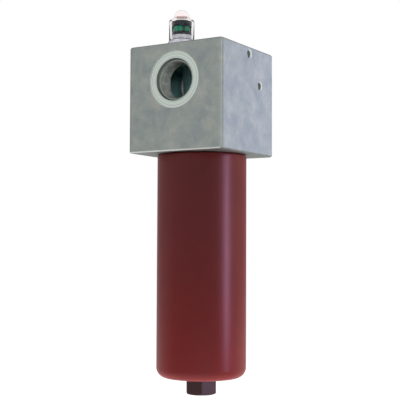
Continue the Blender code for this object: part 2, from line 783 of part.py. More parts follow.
def pleat_outline(tip, valley, tip_is_flat):
    """One side of the pleated sheet, as points in the plan. Each fold is rounded on its outer side.

    The rounding's points are given across and inward, in thicknesses of the sheet.
    """
    rounding = ((-0.9, 0.45), (-0.45, 0), (0.45, 0), (0.9, 0.45))
    points = []
    for i in range(2 * PLEATS):
        middle = math.pi * i / PLEATS
        at_tip = i % 2 == 0
        radius = tip if at_tip else valley
        inward = -1 if at_tip else 1
        if at_tip == tip_is_flat:
            for across, drop in rounding:
                angle = middle + across * PLEAT_SHEET / radius
                reach = radius + inward * drop * PLEAT_SHEET
                points.append((reach * math.cos(angle), reach * math.sin(angle)))
        else:
            points.append((radius * math.cos(middle), radius * math.sin(middle)))
    return points


def make_pleat_pack():
    """The pleated sheet: two closed outlines a sheet's thickness apart, filled between and extruded."""
    curve = bpy.data.curves.new("element_pleat_pack", "CURVE")
    curve.dimensions = "2D"
    curve.fill_mode = "BOTH"
    curve.extrude = (PACK_TOP - PACK_BOTTOM) / 2
    outlines = [
        pleat_outline(PACK_OUTER, PACK_INNER + PLEAT_SHEET, True),
        pleat_outline(PACK_OUTER - PLEAT_SHEET, PACK_INNER, False),
    ]
    for outline in outlines:
        spline = curve.splines.new("POLY")
        spline.use_cyclic_u = True
        spline.points.add(len(outline) - 1)
        for point, (x, y) in zip(spline.points, outline):
            point.co = (x, y, 0, 1)
    add_object("element_pleat_pack", curve, BOWL_AXIS, PLEAT_MEDIA, (PACK_TOP + PACK_BOTTOM) / 2)


def make_core_tube():
    """Support tube inside the pleats, with staggered rows of round holes."""
    inner = CORE_RADIUS - CORE_WALL
    core = tube("element_core_tube", inner, CORE_RADIUS, PACK_BOTTOM, PACK_TOP, BOWL_AXIS, ZINC_SHEET)
    mesh = bpy.data.meshes.new("core_holes")
    bm = bmesh.new()
    rows = int((PACK_TOP - PACK_BOTTOM) / CORE_ROW_PITCH)
    pitch = (PACK_TOP - PACK_BOTTOM) / rows
    for row in range(rows):
        for i in range(CORE_HOLES_AROUND):
            angle = math.tau * (i + row % 2 / 2 + 0.25) / CORE_HOLES_AROUND
            direction = Vector((math.cos(angle), math.sin(angle), 0))
            place = direction.to_track_quat("Z", "Y").to_matrix().to_4x4()
            place.translation = direction * (CORE_RADIUS - CORE_WALL / 2)
            place.translation.z = PACK_BOTTOM + (row + 0.5) * pitch
            bmesh.ops.create_cone(
                bm,
                cap_ends=True,
                segments=RING_SIDES,
                radius1=CORE_HOLE / 2,
                radius2=CORE_HOLE / 2,
                depth=4 * CORE_WALL,
                matrix=place,
            )
    bm.to_mesh(mesh)
    bm.free()
    combine(core, add_object("core_holes", mesh, BOWL_AXIS, None), "DIFFERENCE")


def make_bypass_valve():
    """Poppet on the end cap's seat, the cage that guides its stem, and the spring between them."""
    seat_face = BOTTOM_CAP_FACE + CAP_THICKNESS
    disc = VALVE_PORT / 2 + VALVE_OVERLAP
    stem = VALVE_STEM / 2
    disc_base = seat_face + GAP
    disc_top = disc_base + VALVE_DISC
    cage_inner = CORE_RADIUS - CORE_WALL - GAP - CAGE_WALL
    spring_length = VALVE_WIRE * (VALVE_TURNS + 1) + VALVE_LIFT + VALVE_RESERVE
    cage_under = disc_top + spring_length + 2 * GAP
    cage_top = cage_under + CAGE_WALL
    cage_height = cage_top - disc_base
    stem_top = cage_top + CAGE_WALL
    nose = VALVE_PORT / 2 - 2 * GAP
    poppet = [
        (0, stem_top),
        (stem - GAP, stem_top),
        (stem, stem_top - GAP),
        (stem, disc_top + VALVE_DISC),
        (stem + 2 * VALVE_EDGE, disc_top),
        (disc - VALVE_EDGE, disc_top),
        (disc, disc_top - VALVE_EDGE),
        (disc, disc_base),
        (nose, disc_base),
        (nose - CAP_THICKNESS / 2, disc_base - CAP_THICKNESS / 2),
        (0, disc_base - CAP_THICKNESS / 2),
    ]
    turned("bypass_poppet", poppet, BOWL_AXIS, BRIGHT_STEEL, COARSE)
    guide = stem + GAP
    cage_profile = [
        (guide, cage_top),
        (cage_inner, cage_top),
        (cage_inner + CAGE_WALL, cage_under),
        (cage_inner + CAGE_WALL, disc_base),
        (cage_inner, disc_base),
        (cage_inner, cage_under),
        (guide, cage_under),
    ]
    cage = turned("bypass_cage", cage_profile, BOWL_AXIS, ZINC_SHEET, COARSE)
    span = cage_inner + 2 * CAGE_WALL
    sill = disc_base + cage_height / 5
    lintel = cage_top - cage_height / 5
    for i in range(2):
        low = (-span, -cage_inner / 2, sill)
        high = (span, cage_inner / 2, lintel)
        window = box(f"cage_window_{i + 1}", low, high, BOWL_AXIS, None, i * math.pi / 2)
        combine(cage, window, "DIFFERENCE")
    coil = (stem + disc) / 2 + VALVE_WIRE / 4
    spring("bypass_spring", coil, VALVE_WIRE, VALVE_TURNS, disc_top + GAP, cage_under - GAP, BOWL_AXIS)


def make_indicator_body():
    """Metal body: stem in the head, hexagon, rim under the cover, and the bright collar with its cup."""
    groove = STEM_RADIUS - STEM_SEAL_SECTION - 2 * GAP
    seal_height = STEM_BOTTOM + STEM_SEAL_RISE
    groove_half = STEM_SEAL_SECTION / 2 + GAP
    neck = COLLAR_DIAMETER / 2 - COVER_SEAL_SECTION - GAP / 2
    edge = SMALL_EDGE
    relief = STEM_RADIUS - STEM_RELIEF
    relief_end = HEX_BASE - STEM_RELIEF_LENGTH
    profile = [
        (0, COLLAR_TOP),
        (COLLAR_DIAMETER / 2 - edge, COLLAR_TOP),
        (COLLAR_DIAMETER / 2, COLLAR_TOP - edge),
        (COLLAR_DIAMETER / 2, COLLAR_BASE + edge),
        (COLLAR_DIAMETER / 2 - edge, COLLAR_BASE),
        (neck, COLLAR_BASE),
        (neck, RIM_TOP),
        (COVER_RADIUS - edge, RIM_TOP),
        (COVER_RADIUS, RIM_TOP - edge),
        (COVER_RADIUS, HEX_TOP),
        (INDICATOR_FLATS / 2 - edge, HEX_TOP),
        (INDICATOR_FLATS / 2 - edge, HEX_BASE),
        (relief, HEX_BASE),
        (relief, relief_end),
        (STEM_RADIUS, relief_end - STEM_RELIEF),
        (STEM_RADIUS, seal_height + groove_half),
        (groove, seal_height + groove_half),
        (groove, seal_height - groove_half),
        (STEM_RADIUS, seal_height - groove_half),
        (STEM_RADIUS, STEM_BOTTOM + STEM_RELIEF),
        (relief, STEM_BOTTOM),
        (0, STEM_BOTTOM),
    ]
    body = turned("indicator_body", profile, INDICATOR_AXIS, BRIGHT_STEEL, MEDIUM)
    turned_corner = SEAT_RADIUS - SEAT_MARGIN
    turning = [
        (0, HEX_TOP),
        (turned_corner - edge, HEX_TOP),
        (turned_corner, HEX_TOP - edge),
        (turned_corner, HEX_BASE + edge),
        (turned_corner - edge, HEX_BASE),
        (0, HEX_BASE),
    ]
    name, turn = "indicator_hexagon", math.pi / 6
    flats = hexagon(name, INDICATOR_FLATS, HEX_BASE, HEX_TOP, turning, INDICATOR_AXIS, turn)
    combine(body, flats, "UNION")
    frame_bore = COLLAR_DIAMETER / 2 - FRAME_WALL
    upper = [
        (0, COLLAR_TOP + PROUD),
        (frame_bore, COLLAR_TOP + PROUD),
        (frame_bore, CUP_FLOOR),
        (SPINDLE_BORE / 2, CUP_FLOOR),
        (SPINDLE_BORE / 2, SPINDLE_FLOOR),
        (0, SPINDLE_FLOOR),
    ]
    spindle_bore = turned("spindle_bore", upper, INDICATOR_AXIS, None, COARSE)
    lower = [
        (0, PISTON_BORE_TOP),
        (PISTON_BORE / 2, PISTON_BORE_TOP),
        (PISTON_BORE / 2, STEM_BOTTOM - PROUD),
        (0, STEM_BOTTOM - PROUD),
    ]
    piston_bore = turned("piston_bore", lower, INDICATOR_AXIS, None, COARSE)
    left = (-STEM_RADIUS - PROUD, 0, HEX_BASE - CROSS_DROP)
    right = (STEM_RADIUS + PROUD, 0, HEX_BASE - CROSS_DROP)
    cross = prism("cross_drilling", CROSS_DRILLING / 2, left, right, INDICATOR_AXIS, None, RING_SIDES)
    cut_with_all(body, [spindle_bore, piston_bore, cross])
    stem_seal = (groove + CAVITY_RADIUS) / 2
    o_ring("indicator_stem_seal", stem_seal, STEM_SEAL_SECTION, seal_height, INDICATOR_AXIS)
    flange_seal = STEM_RADIUS + 1.1 * GAP + FLANGE_SEAL_SECTION / 2
    height = HEX_BASE - 1.1 * GAP - FLANGE_SEAL_SECTION / 2
    o_ring("indicator_flange_seal", flange_seal, FLANGE_SEAL_SECTION, height, INDICATOR_AXIS)
    cover_seal = (neck + COVER_INNER) / 2
    section = min(COVER_SEAL_SECTION, COVER_INNER - neck - 2 * GAP)
    o_ring("indicator_cover_seal", cover_seal, section, (RIM_TOP + COLLAR_BASE) / 2, INDICATOR_AXIS)


def make_cover():
    """Clear moulded cover: a cylinder, a rounded shoulder, a cone and a dome, of even wall."""
    dome = DOME_DIAMETER / 2
    shoulder_top = CONE_BASE + DOME_WALL
    outer = [
        *arc((0, DOME_BASE), (dome, DOME_HEIGHT), 90, 0, 6),
        *arc(
            (COVER_RADIUS - SHOULDER_ROUND, shoulder_top - SHOULDER_ROUND),
            (SHOULDER_ROUND, SHOULDER_ROUND),
            60,
            0,
            3,
        ),
        (COVER_RADIUS, COVER_BASE),
    ]
    inner = [
        (COVER_INNER, COVER_BASE),
        (COVER_INNER, CONE_BASE),
        *arc((0, DOME_BASE), (DOME_INNER, DOME_INNER_TOP - DOME_BASE), 0, 90, 5),
    ]
    outer[0] = (0, DOME_BASE + DOME_HEIGHT)
    inner[-1] = (0, DOME_INNER_TOP)
    turned("indicator_cover", outer + inner, INDICATOR_AXIS, CLEAR_PLASTIC, MEDIUM)


def make_guide():
    """Ring pressed into the dome, which guides the spindle's upper end."""
    tube(
        "indicator_guide",
        SPINDLE_DIAMETER / 2 + GAP,
        DOME_INNER - 1.4 * GAP,
        GUIDE_BASE,
        GUIDE_BASE + GUIDE_THICKNESS,
        INDICATOR_AXIS,
        PINK_PLASTIC,
        COARSE,
    )


def make_window_frame():
    """Black ring with four windows, which leaves four upright ribs between them."""
    outer = COLLAR_DIAMETER / 2
    inner = outer - FRAME_WALL
    profile = [
        (inner, FRAME_TOP),
        (outer - SMALL_EDGE, FRAME_TOP),
        (outer, FRAME_TOP - SMALL_EDGE),
        (outer, FRAME_BASE),
        (inner, FRAME_BASE),
    ]
    frame = turned("indicator_window_frame", profile, INDICATOR_AXIS, BLACK_PLASTIC, MEDIUM)
    windows = tube("windows", inner - PROUD, outer + PROUD, WINDOW_BASE, WINDOW_TOP, INDICATOR_AXIS, None)
    for i in range(2):
        reach = outer + 2 * PROUD
        half = RIB_WIDTH / 2
        low = (-reach, -half, WINDOW_BASE - PROUD)
        high = (reach, half, WINDOW_TOP + PROUD)
        rib = box(f"ribs_{i + 1}", low, high, INDICATOR_AXIS, None, math.pi / 4 + i * math.pi / 2)
        combine(windows, rib, "DIFFERENCE")
    combine(frame, windows, "DIFFERENCE")


def make_band():
    """The sleeve that shows green or red, with a web that carries it on the spindle."""
    hub = SPINDLE_DIAMETER / 2 + GAP
    inner = BAND_RADIUS - BAND_WALL
    web = BAND_TOP - BAND_WALL
    profile = [
        (hub, BAND_TOP),
        (BAND_RADIUS - GAP, BAND_TOP),
        (BAND_RADIUS, BAND_TOP - GAP),
        (BAND_RADIUS, BAND_BASE),
        (inner, BAND_BASE),
        (inner, web),
        (hub, web),
    ]
    turned("indicator_band", profile, INDICATOR_AXIS, GREEN_PLASTIC, MEDIUM)
    coil = (SPINDLE_BORE / 2 + inner) / 2
    spring("band_spring", coil, BAND_WIRE, BAND_TURNS, BAND_BASE, web - GAP, INDICATOR_AXIS)


def make_spindle():
    """Spindle with a flange that stands on its magnet."""
    magnet = SPINDLE_BORE / 2 - GAP
    magnet_base = SPINDLE_FLOOR + GAP
    magnet_top = magnet_base + MAGNET_HEIGHT
    bore = MAGNET_BORE / 2
    tube("spindle_magnet", bore, magnet, magnet_base, magnet_top, INDICATOR_AXIS, MAGNET, COARSE)
    top = GUIDE_BASE + SPINDLE_IN_GUIDE
    foot = magnet_top + GAP
    radius = SPINDLE_DIAMETER / 2
    profile = [
        (0, top),
        (radius - GAP, top),
        (radius, top - GAP),
        (radius, foot + SPINDLE_FLANGE),
        (magnet, foot + SPINDLE_FLANGE),
        (magnet, foot),
        (0, foot),
    ]
    turned("indicator_spindle", profile, INDICATOR_AXIS, BRIGHT_STEEL, COARSE)


def make_sensing_piston():
    """Piston with its magnet, the spring under it, and the ring that holds the spring in the stem."""
    radius = PISTON_BORE / 2 - GAP
    pocket = PISTON_MAGNET / 2 + GAP
    pocket_floor = PISTON_TOP - PISTON_MAGNET_HEIGHT - GAP
    crown = PISTON_TOP - PISTON_CROWN
    profile = [
        (pocket, PISTON_TOP),
        (pocket + PISTON_RIM, PISTON_TOP),
        (pocket + PISTON_RIM, crown),
        (radius, crown),
        (radius, PISTON_BOTTOM),
        (0, PISTON_BOTTOM),
        (0, pocket_floor),
        (pocket, pocket_floor),
    ]
    turned("sensing_piston", profile, INDICATOR_AXIS, BRIGHT_STEEL, COARSE)
    magnet = [
        (0, PISTON_TOP),
        (PISTON_MAGNET / 2, PISTON_TOP),
        (PISTON_MAGNET / 2, pocket_floor + GAP),
        (0, pocket_floor + GAP),
    ]
    turned("piston_magnet", magnet, INDICATOR_AXIS, MAGNET, COARSE)
    tube(
        "piston_spring_seat",
        radius / 2,
        radius,
        STEM_BOTTOM,
        SPRING_SEAT_TOP,
        INDICATOR_AXIS,
        ZINC_SHEET,
        COARSE,
    )
    coil = radius - PISTON_WIRE - GAP
    base = SPRING_SEAT_TOP + GAP
    spring("piston_spring", coil, PISTON_WIRE, PISTON_TURNS, base, PISTON_BOTTOM - GAP, INDICATOR_AXIS)


def settle_meshes():
    """Turns each piece's modifiers into its mesh, and shades round surfaces smooth between sharp edges."""
    bpy.context.view_layer.update()
    graph = bpy.context.evaluated_depsgraph_get()
    settled = {}
    for obj in PARTS.objects:
        if obj.type == "MESH":
            settled[obj] = bpy.data.meshes.new_from_object(obj.evaluated_get(graph))
    for obj, mesh in settled.items():
        obj.modifiers.clear()
        obj.data = mesh
        mesh.shade_smooth()
        mesh.set_sharp_from_angle(angle=math.radians(35))


def main():
    make_head()
    make_bowl()
    make_bowl_seals()
    make_top_cap()
    make_bottom_cap()
    make_pleat_pack()
    make_core_tube()
    make_bypass_valve()
    make_indicator_body()
    make_cover()
    make_guide()
    make_window_frame()
    make_band()
    make_spindle()
    make_sensing_piston()
    settle_meshes()


main()
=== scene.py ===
# %% [markdown]
# # A hydraulic pressure filter
#
# The real filter sits in the pressure line of a machine. Oil enters the cube-shaped head at the front port,
# runs down into the red bowl, passes the pleated element from outside to inside, and leaves at the back port.
# The windows under the small clear dome show green while the element is clean, and red once it clogs.
#
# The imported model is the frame: it says where each piece is and which body it moves with. This script dresses
# it. A piece whose shape is fine enough stays and gets a finish, and the pieces that are seen close up get a
# finer mesh in the same place.

# %% Load the frame
import math

import bmesh
import bpy
from mathutils import Matrix, Vector


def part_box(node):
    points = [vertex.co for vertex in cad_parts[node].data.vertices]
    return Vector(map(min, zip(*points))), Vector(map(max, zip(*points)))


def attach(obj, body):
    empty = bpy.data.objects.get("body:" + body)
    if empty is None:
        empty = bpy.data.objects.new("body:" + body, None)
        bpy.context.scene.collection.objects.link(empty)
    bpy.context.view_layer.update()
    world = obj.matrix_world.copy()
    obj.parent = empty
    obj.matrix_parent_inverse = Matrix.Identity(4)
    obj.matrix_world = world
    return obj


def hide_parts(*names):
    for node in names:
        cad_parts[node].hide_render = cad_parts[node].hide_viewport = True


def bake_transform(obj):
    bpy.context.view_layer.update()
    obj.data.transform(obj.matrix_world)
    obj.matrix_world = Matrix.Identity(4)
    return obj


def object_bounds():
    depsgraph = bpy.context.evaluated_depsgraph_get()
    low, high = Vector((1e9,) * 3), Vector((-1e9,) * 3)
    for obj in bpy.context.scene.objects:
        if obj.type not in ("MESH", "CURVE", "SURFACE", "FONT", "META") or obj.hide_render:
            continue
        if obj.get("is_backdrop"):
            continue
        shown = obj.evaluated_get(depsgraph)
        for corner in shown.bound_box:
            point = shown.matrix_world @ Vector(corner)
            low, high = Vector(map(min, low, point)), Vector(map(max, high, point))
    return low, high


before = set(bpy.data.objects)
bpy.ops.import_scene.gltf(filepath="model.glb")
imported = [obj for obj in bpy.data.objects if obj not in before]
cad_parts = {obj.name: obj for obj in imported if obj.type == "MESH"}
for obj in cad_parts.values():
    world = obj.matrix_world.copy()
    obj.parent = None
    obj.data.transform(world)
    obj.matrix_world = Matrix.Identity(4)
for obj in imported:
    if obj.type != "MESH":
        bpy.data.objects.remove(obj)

cad_low, cad_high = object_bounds()

# %% [markdown]
# ## Places and units
#
# Everything is in metres, with the origin on the head's right face at the height of the ports. Two upright
# axes carry the rest: the bowl's axis, and the indicator's axis near the front edge of the head. Heights on the
# bowl are easier to read from the head's lower face, and heights on the indicator from its seat, so each axis
# has its own starting point. Sizes are written in millimetres where a maker would say them so.

# %% Axes of the filter
MM = 0.001
HEAD_MIDDLE = Vector((-50, 0, 0)) * MM
BOWL_AXIS = Vector((-50, 0, -65)) * MM
INDICATOR_AXIS = Vector((-50, -37.1, 33.5)) * MM

# %% [markdown]
# ## Camera
#
# The photograph looks at the near upright edge of the head from about 31 degrees to the right, and from below
# the head's underside. A short telephoto lens keeps the sides of the bowl nearly parallel.

# %% Camera from turn, tilt and roll
CAMERA_PLACE = (0.41707, -0.77546, -0.15444)
CAMERA_TURN = math.radians(31.1704)
CAMERA_TILT = math.radians(2.98469)
CAMERA_ROLL = math.radians(0.24679)
SENSOR_MM = 36
LENS_MM = 86.40

camera_data = bpy.data.cameras.new("camera")
camera_data.sensor_width = SENSOR_MM
camera_data.lens = LENS_MM
camera = bpy.data.objects.new("camera", camera_data)
bpy.context.scene.collection.objects.link(camera)
turn = Matrix.Rotation(CAMERA_TURN, 4, "Z")
tilt = Matrix.Rotation(math.pi / 2 + CAMERA_TILT, 4, "X")
roll = Matrix.Rotation(CAMERA_ROLL, 4, "Z")
camera.matrix_world = Matrix.Translation(CAMERA_PLACE) @ turn @ tilt @ roll
bpy.context.scene.camera = camera
print("camera looks along", [round(v, 3) for v in -(turn @ tilt).col[2].xyz])

# %% [markdown]
# ## Colours and nodes
#
# Colours are read off a screen as hex values, which are in sRGB. Shaders count in linear light, so one
# function turns one into the other. A second function adds a node, sets it and links it. A mask is a number
# that is 1 where a finish lies and 0 elsewhere, and the last three functions put masks together.

# %% Colour and node helpers
def linear(hex_colour):
    """An sRGB colour such as #8d918c as a linear RGBA colour."""
    channels = [int(hex_colour[i : i + 2], 16) / 255 for i in (1, 3, 5)]
    return (*(c / 12.92 if c <= 0.04045 else ((c + 0.055) / 1.055) ** 2.4 for c in channels), 1.0)


def add_node(tree, kind, settings=None):
    """Adds a node. A setting names a property or an input, and an input takes a value or a socket."""
    node = tree.nodes.new(kind)
    for key, value in (settings or {}).items():
        if isinstance(value, bpy.types.NodeSocket):
            tree.links.new(value, node.inputs[key])
        elif isinstance(key, int) or key in node.inputs:
            node.inputs[key].default_value = value
        else:
            setattr(node, key, value)
    return node


def any_of(tree, first, *others):
    """The largest of several sockets, which for masks is 1 where at least one of them is 1."""
    for other in others:
        first = add_node(tree, "ShaderNodeMath", {"operation": "MAXIMUM", 0: first, 1: other}).outputs[0]
    return first


def all_of(tree, first, *others):
    """The product of sockets and numbers, which for masks is 1 where all of them are 1."""
    for other in others:
        first = add_node(tree, "ShaderNodeMath", {"operation": "MULTIPLY", 0: first, 1: other}).outputs[0]
    return first


def none_of(tree, mask):
    """The opposite of a mask."""
    return add_node(tree, "ShaderNodeMath", {"operation": "SUBTRACT", 0: 1.0, 1: mask}).outputs[0]


# %% [markdown]
# ## Studio
#
# A filter like this is photographed in a white room. The world is plain white wherever the camera or a view
# through clear plastic meets it, and almost dark where it would only light the object, which is left to the
# lamps. What stands behind the filter is mirrored darker than what is in front, so the bowl's sides keep their
# red.
#
# Broad softboxes stand beside and a little behind the filter, so the round bowl is bright at its sides and
# darker in the middle, which is what makes it look round. The glow of the white table under it and a small low
# lamp lift the bowl towards its lower end. A lamp in front, a little above, reaches into the open port and
# spares the bowl. Rough metal mirrors whole lamps as well as the room, so all of these only give plain light,
# and a separate cool softbox is there for the metal of the right face alone. A narrow strip light is aimed at
# the bowl alone and draws the long soft highlight on its right.
#
# The table lies well below the filter. The camera sees it as white as the room, and a reflection sees it
# greyer, so the head's underside keeps its shade.

# %% White room
WORLD_LIGHT = 0.01
TOWARD_CAMERA = (0.5176, -0.8556, 0)
WALL_BEHIND, WALL_IN_FRONT = 0.38, 1.0
WALL_FADE = (-0.6, 0.5)

scene = bpy.context.scene
scene.view_settings.view_transform = "Standard"


def room_rays(tree, mirrored=1.0):
    """A socket that is 1 for the camera's rays and those through clear plastic, and a share for reflections."""
    path = add_node(tree, "ShaderNodeLightPath")
    reflection = all_of(tree, path.outputs["Is Glossy Ray"], mirrored)
    return any_of(tree, path.outputs["Is Camera Ray"], reflection, path.outputs["Is Transmission Ray"])


world = bpy.data.worlds.new("white_room")
scene.world = world
world.use_nodes = True
tree = world.node_tree
tree.nodes.clear()
light = add_node(tree, "ShaderNodeBackground", {"Color": linear("#f2f4f7"), "Strength": WORLD_LIGHT})
toward = add_node(tree, "ShaderNodeTexCoord").outputs["Generated"]
facing = {"operation": "DOT_PRODUCT", 0: toward, 1: TOWARD_CAMERA}
in_front = add_node(tree, "ShaderNodeVectorMath", facing).outputs["Value"]
fade = {"From Min": WALL_FADE[0], "From Max": WALL_FADE[1], "To Min": WALL_BEHIND, "To Max": WALL_IN_FRONT}
wall = add_node(tree, "ShaderNodeMapRange", {**fade, "Value": in_front}).outputs["Result"]
strength = any_of(tree, room_rays(tree, mirrored=0.0), wall)
white = add_node(tree, "ShaderNodeBackground", {"Color": (1, 1, 1, 1), "Strength": strength})
mix = add_node(tree, "ShaderNodeMixShader", {0: room_rays(tree), 1: light.outputs[0], 2: white.outputs[0]})
add_node(tree, "ShaderNodeOutputWorld", {"Surface": mix.outputs[0]})


# %% Softboxes
def add_softbox(name, toward, distance, width, height, power, colour, target, rays):
    """A rectangular area lamp in the given direction from a target, facing it."""
    data = bpy.data.lights.new(name, "AREA")
    data.shape = "RECTANGLE"
    data.size = width
    data.size_y = height
    data.energy = power
    data.color = linear(colour)[:3]
    lamp = bpy.data.objects.new(name, data)
    scene.collection.objects.link(lamp)
    direction = Vector(toward).normalized()
    lamp.location = Vector(target) + direction * distance
    lamp.rotation_euler = direction.to_track_quat("Z", "Y").to_euler()
    lamp.visible_diffuse, lamp.visible_glossy = rays
    lamp.visible_camera = False
    lamp.visible_transmission = False
    return lamp


def link_light(lamp, obj, state):
    """Lets a lamp reach one object alone, with INCLUDE, or everything but that object, with EXCLUDE."""
    chosen = bpy.data.collections.new(lamp.name + "_link")
    chosen.objects.link(obj)
    chosen.collection_objects[0].light_linking.link_state = state
    lamp.light_linking.receiver_collection = chosen


PLAIN, MIRRORED = (True, False), (False, True)
middle = (cad_low + cad_high) / 2
bowl_foot = BOWL_AXIS + Vector((0, 0, -0.20))
softboxes = (
    ("left_softbox", (-0.965, -0.262, 0.05), 1.6, 0.9, 1.4, 8.0, "#fff6ee", middle, PLAIN),
    ("right_softbox", (0.66, 0.75, 0.05), 1.5, 0.9, 1.4, 18, "#fff4ee", middle, PLAIN),
    ("front_softbox", (0.60, -0.74, 0.28), 1.2, 0.5, 0.5, 12, "#fbfdff", middle, PLAIN),
    ("low_softbox", (0.52, -0.86, -0.30), 0.45, 0.3, 0.15, 0.05, "#fff6ee", bowl_foot, PLAIN),
    ("cool_softbox", (0.52, 0.86, 0.15), 1.5, 0.9, 1.2, 7.5, "#dcdcff", middle, MIRRORED),
    ("strip_light", (0.9925, 0.122, -0.18), 1.3, 0.24, 1.6, 13.2, "#eecdff", middle, MIRRORED),
)
lamps = {row[0]: add_softbox(*row) for row in softboxes}
link_light(lamps["cool_softbox"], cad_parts["filter_head"], "INCLUDE")
print("lamps:", ", ".join(lamps))

# %% Floor
FLOOR_DROP = 0.12
FLOOR_REACH = 6.0
FLOOR_MIRRORED = 0.50
FLOOR_GLOW = 0.99
GLOW_ABOVE_FLOOR = 0.003

floor_z = cad_low.z - FLOOR_DROP
table_glow = add_softbox("table_glow", (0, 0, -1), 0.1, 0.45, 0.45, 1.35, "#fffaf6", HEAD_MIDDLE, PLAIN)
table_glow.location.z = floor_z + GLOW_ABOVE_FLOOR

floor_mesh = bpy.data.meshes.new("floor")
corners = [(x * FLOOR_REACH, y * FLOOR_REACH, floor_z) for x, y in ((-1, -1), (1, -1), (1, 1), (-1, 1))]
floor_mesh.from_pydata(corners, [], [(0, 1, 2, 3)])
floor = bpy.data.objects.new("floor", floor_mesh)
scene.collection.objects.link(floor)
floor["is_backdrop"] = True

floor_paint = bpy.data.materials.new("white_floor_paint")
floor_paint.use_nodes = True
tree = floor_paint.node_tree
tree.nodes.clear()
matt = add_node(tree, "ShaderNodeBsdfDiffuse", {"Color": linear("#e8e8e8")})
bounce = add_node(tree, "ShaderNodeBsdfDiffuse", {"Color": linear("#7a7a7a")})
glow = add_node(tree, "ShaderNodeEmission", {"Color": (1, 1, 1, 1), "Strength": FLOOR_GLOW})
both = add_node(tree, "ShaderNodeAddShader", {0: matt.outputs[0], 1: glow.outputs[0]})
shown = room_rays(tree, FLOOR_MIRRORED)
mix = add_node(tree, "ShaderNodeMixShader", {0: shown, 1: bounce.outputs[0], 2: both.outputs[0]})
add_node(tree, "ShaderNodeOutputMaterial", {"Surface": mix.outputs[0]})
floor_mesh.materials.append(floor_paint)


# %% [markdown]
# ## Head: blasted and zinc-coated cast iron
#
# The head is one casting. Its outside is blasted and zinc coated, which leaves a matt grey with cloudy stains,
# a little green or blue from the coating bath. The spot faces, bores and the indicator's seat are machined
# after casting, so they are brighter and carry the tool's rings. A narrow painted highlight runs along the
# upright corners, the lower edges of the two port faces, the walls of the spot faces and the countersinks,
# and the seal cone at each port's mouth is painted darker as shade. Inside, the cored chamber keeps its
# rough skin and is dark with oil. The casting is one mesh, so the finishes are told apart by where a point
# is: its distance from an axis and from a face.

# %% Material helpers
def new_material(name):
    """A material with one principled shader, returned with its tree, the shader and the point on the object."""
    material = bpy.data.materials.new(name)
    material.use_nodes = True
    tree = material.node_tree
    place = add_node(tree, "ShaderNodeTexCoord").outputs["Object"]
    return material, tree, tree.nodes["Principled BSDF"], place


def feed(shader, sockets):
    """Links sockets to the named inputs of a shader."""
    for name, socket in sockets.items():
        shader.id_data.links.new(socket, shader.inputs[name])


# %% Pattern helpers
def per_metre(size_mm):
    """The scale of a pattern, for places in metres, whose blotches or rings are about this wide."""
    return 1 / (size_mm * MM)


def set_stops(node, *stops):
    """Sets the stops of a colour ramp, each a (position, hex colour), and returns the ramp's colour."""
    elements = node.color_ramp.elements
    while len(elements) < len(stops):
        elements.new(0.5)
    for element, (position, colour) in zip(elements, stops):
        element.position = position
        element.color = linear(colour)
    return node.outputs[0]


def grained(shader, colour, grain, roughness, relief):
    """Gives a surface its colour, and a grain that varies its roughness, (low, high), and its height.

    The relief is (strength, depth in mm).
    """
    tree = shader.id_data
    settings = {"To Min": roughness[0], "To Max": roughness[1], "Value": grain}
    rough = add_node(tree, "ShaderNodeMapRange", settings).outputs["Result"]
    settings = {"Strength": relief[0], "Distance": relief[1] * MM, "Height": grain}
    normal = add_node(tree, "ShaderNodeBump", settings).outputs["Normal"]
    feed(shader, {"Base Color": colour, "Roughness": rough, "Normal": normal})


# %% Cast iron: distances that part the finishes
PORT_RADIUS = 17.35
SPOTFACE_RADIUS = 26
SPOTFACE_Y = 49.2
FIXING_HOLES = {"upper_fixing_thread": (1.5, 27.2), "rear_fixing_thread": (22.5, 0.0)}


def distance_from_axis(tree, point, on_axis, across):
    """Distance of a point from an axis. Across has a 1 for each of the two directions square to the axis."""
    kind = "ShaderNodeVectorMath"
    offset = add_node(tree, kind, {"operation": "SUBTRACT", 0: point, 1: on_axis}).outputs[0]
    flat = add_node(tree, kind, {"operation": "MULTIPLY", 0: offset, 1: across}).outputs[0]
    return add_node(tree, kind, {"operation": "LENGTH", 0: flat}).outputs["Value"]


cast_iron, tree, shader, place = new_material("zinc_coated_cast_iron")
port_distance = distance_from_axis(tree, place, HEAD_MIDDLE, (1, 0, 1))
bowl_distance = distance_from_axis(tree, place, HEAD_MIDDLE, (1, 1, 0))
seat_distance = distance_from_axis(tree, place, INDICATOR_AXIS, (1, 1, 0))
hole_axes = [(0, y * MM, z * MM) for y, z in FIXING_HOLES.values()]
upper_hole, rear_hole = (distance_from_axis(tree, place, axis, (0, 1, 1)) for axis in hole_axes)
nearest = {"operation": "MINIMUM", 0: upper_hole, 1: rear_hole}
hole_distance = add_node(tree, "ShaderNodeMath", nearest).outputs[0]
point_x, point_y, height = add_node(tree, "ShaderNodeSeparateXYZ", {0: place}).outputs
offset = {"operation": "SUBTRACT", 0: point_x, 1: HEAD_MIDDLE.x}
sideways = add_node(tree, "ShaderNodeMath", offset).outputs[0]
depth_x = add_node(tree, "ShaderNodeMath", {"operation": "ABSOLUTE", 0: sideways}).outputs[0]
depth_y = add_node(tree, "ShaderNodeMath", {"operation": "ABSOLUTE", 0: point_y}).outputs[0]
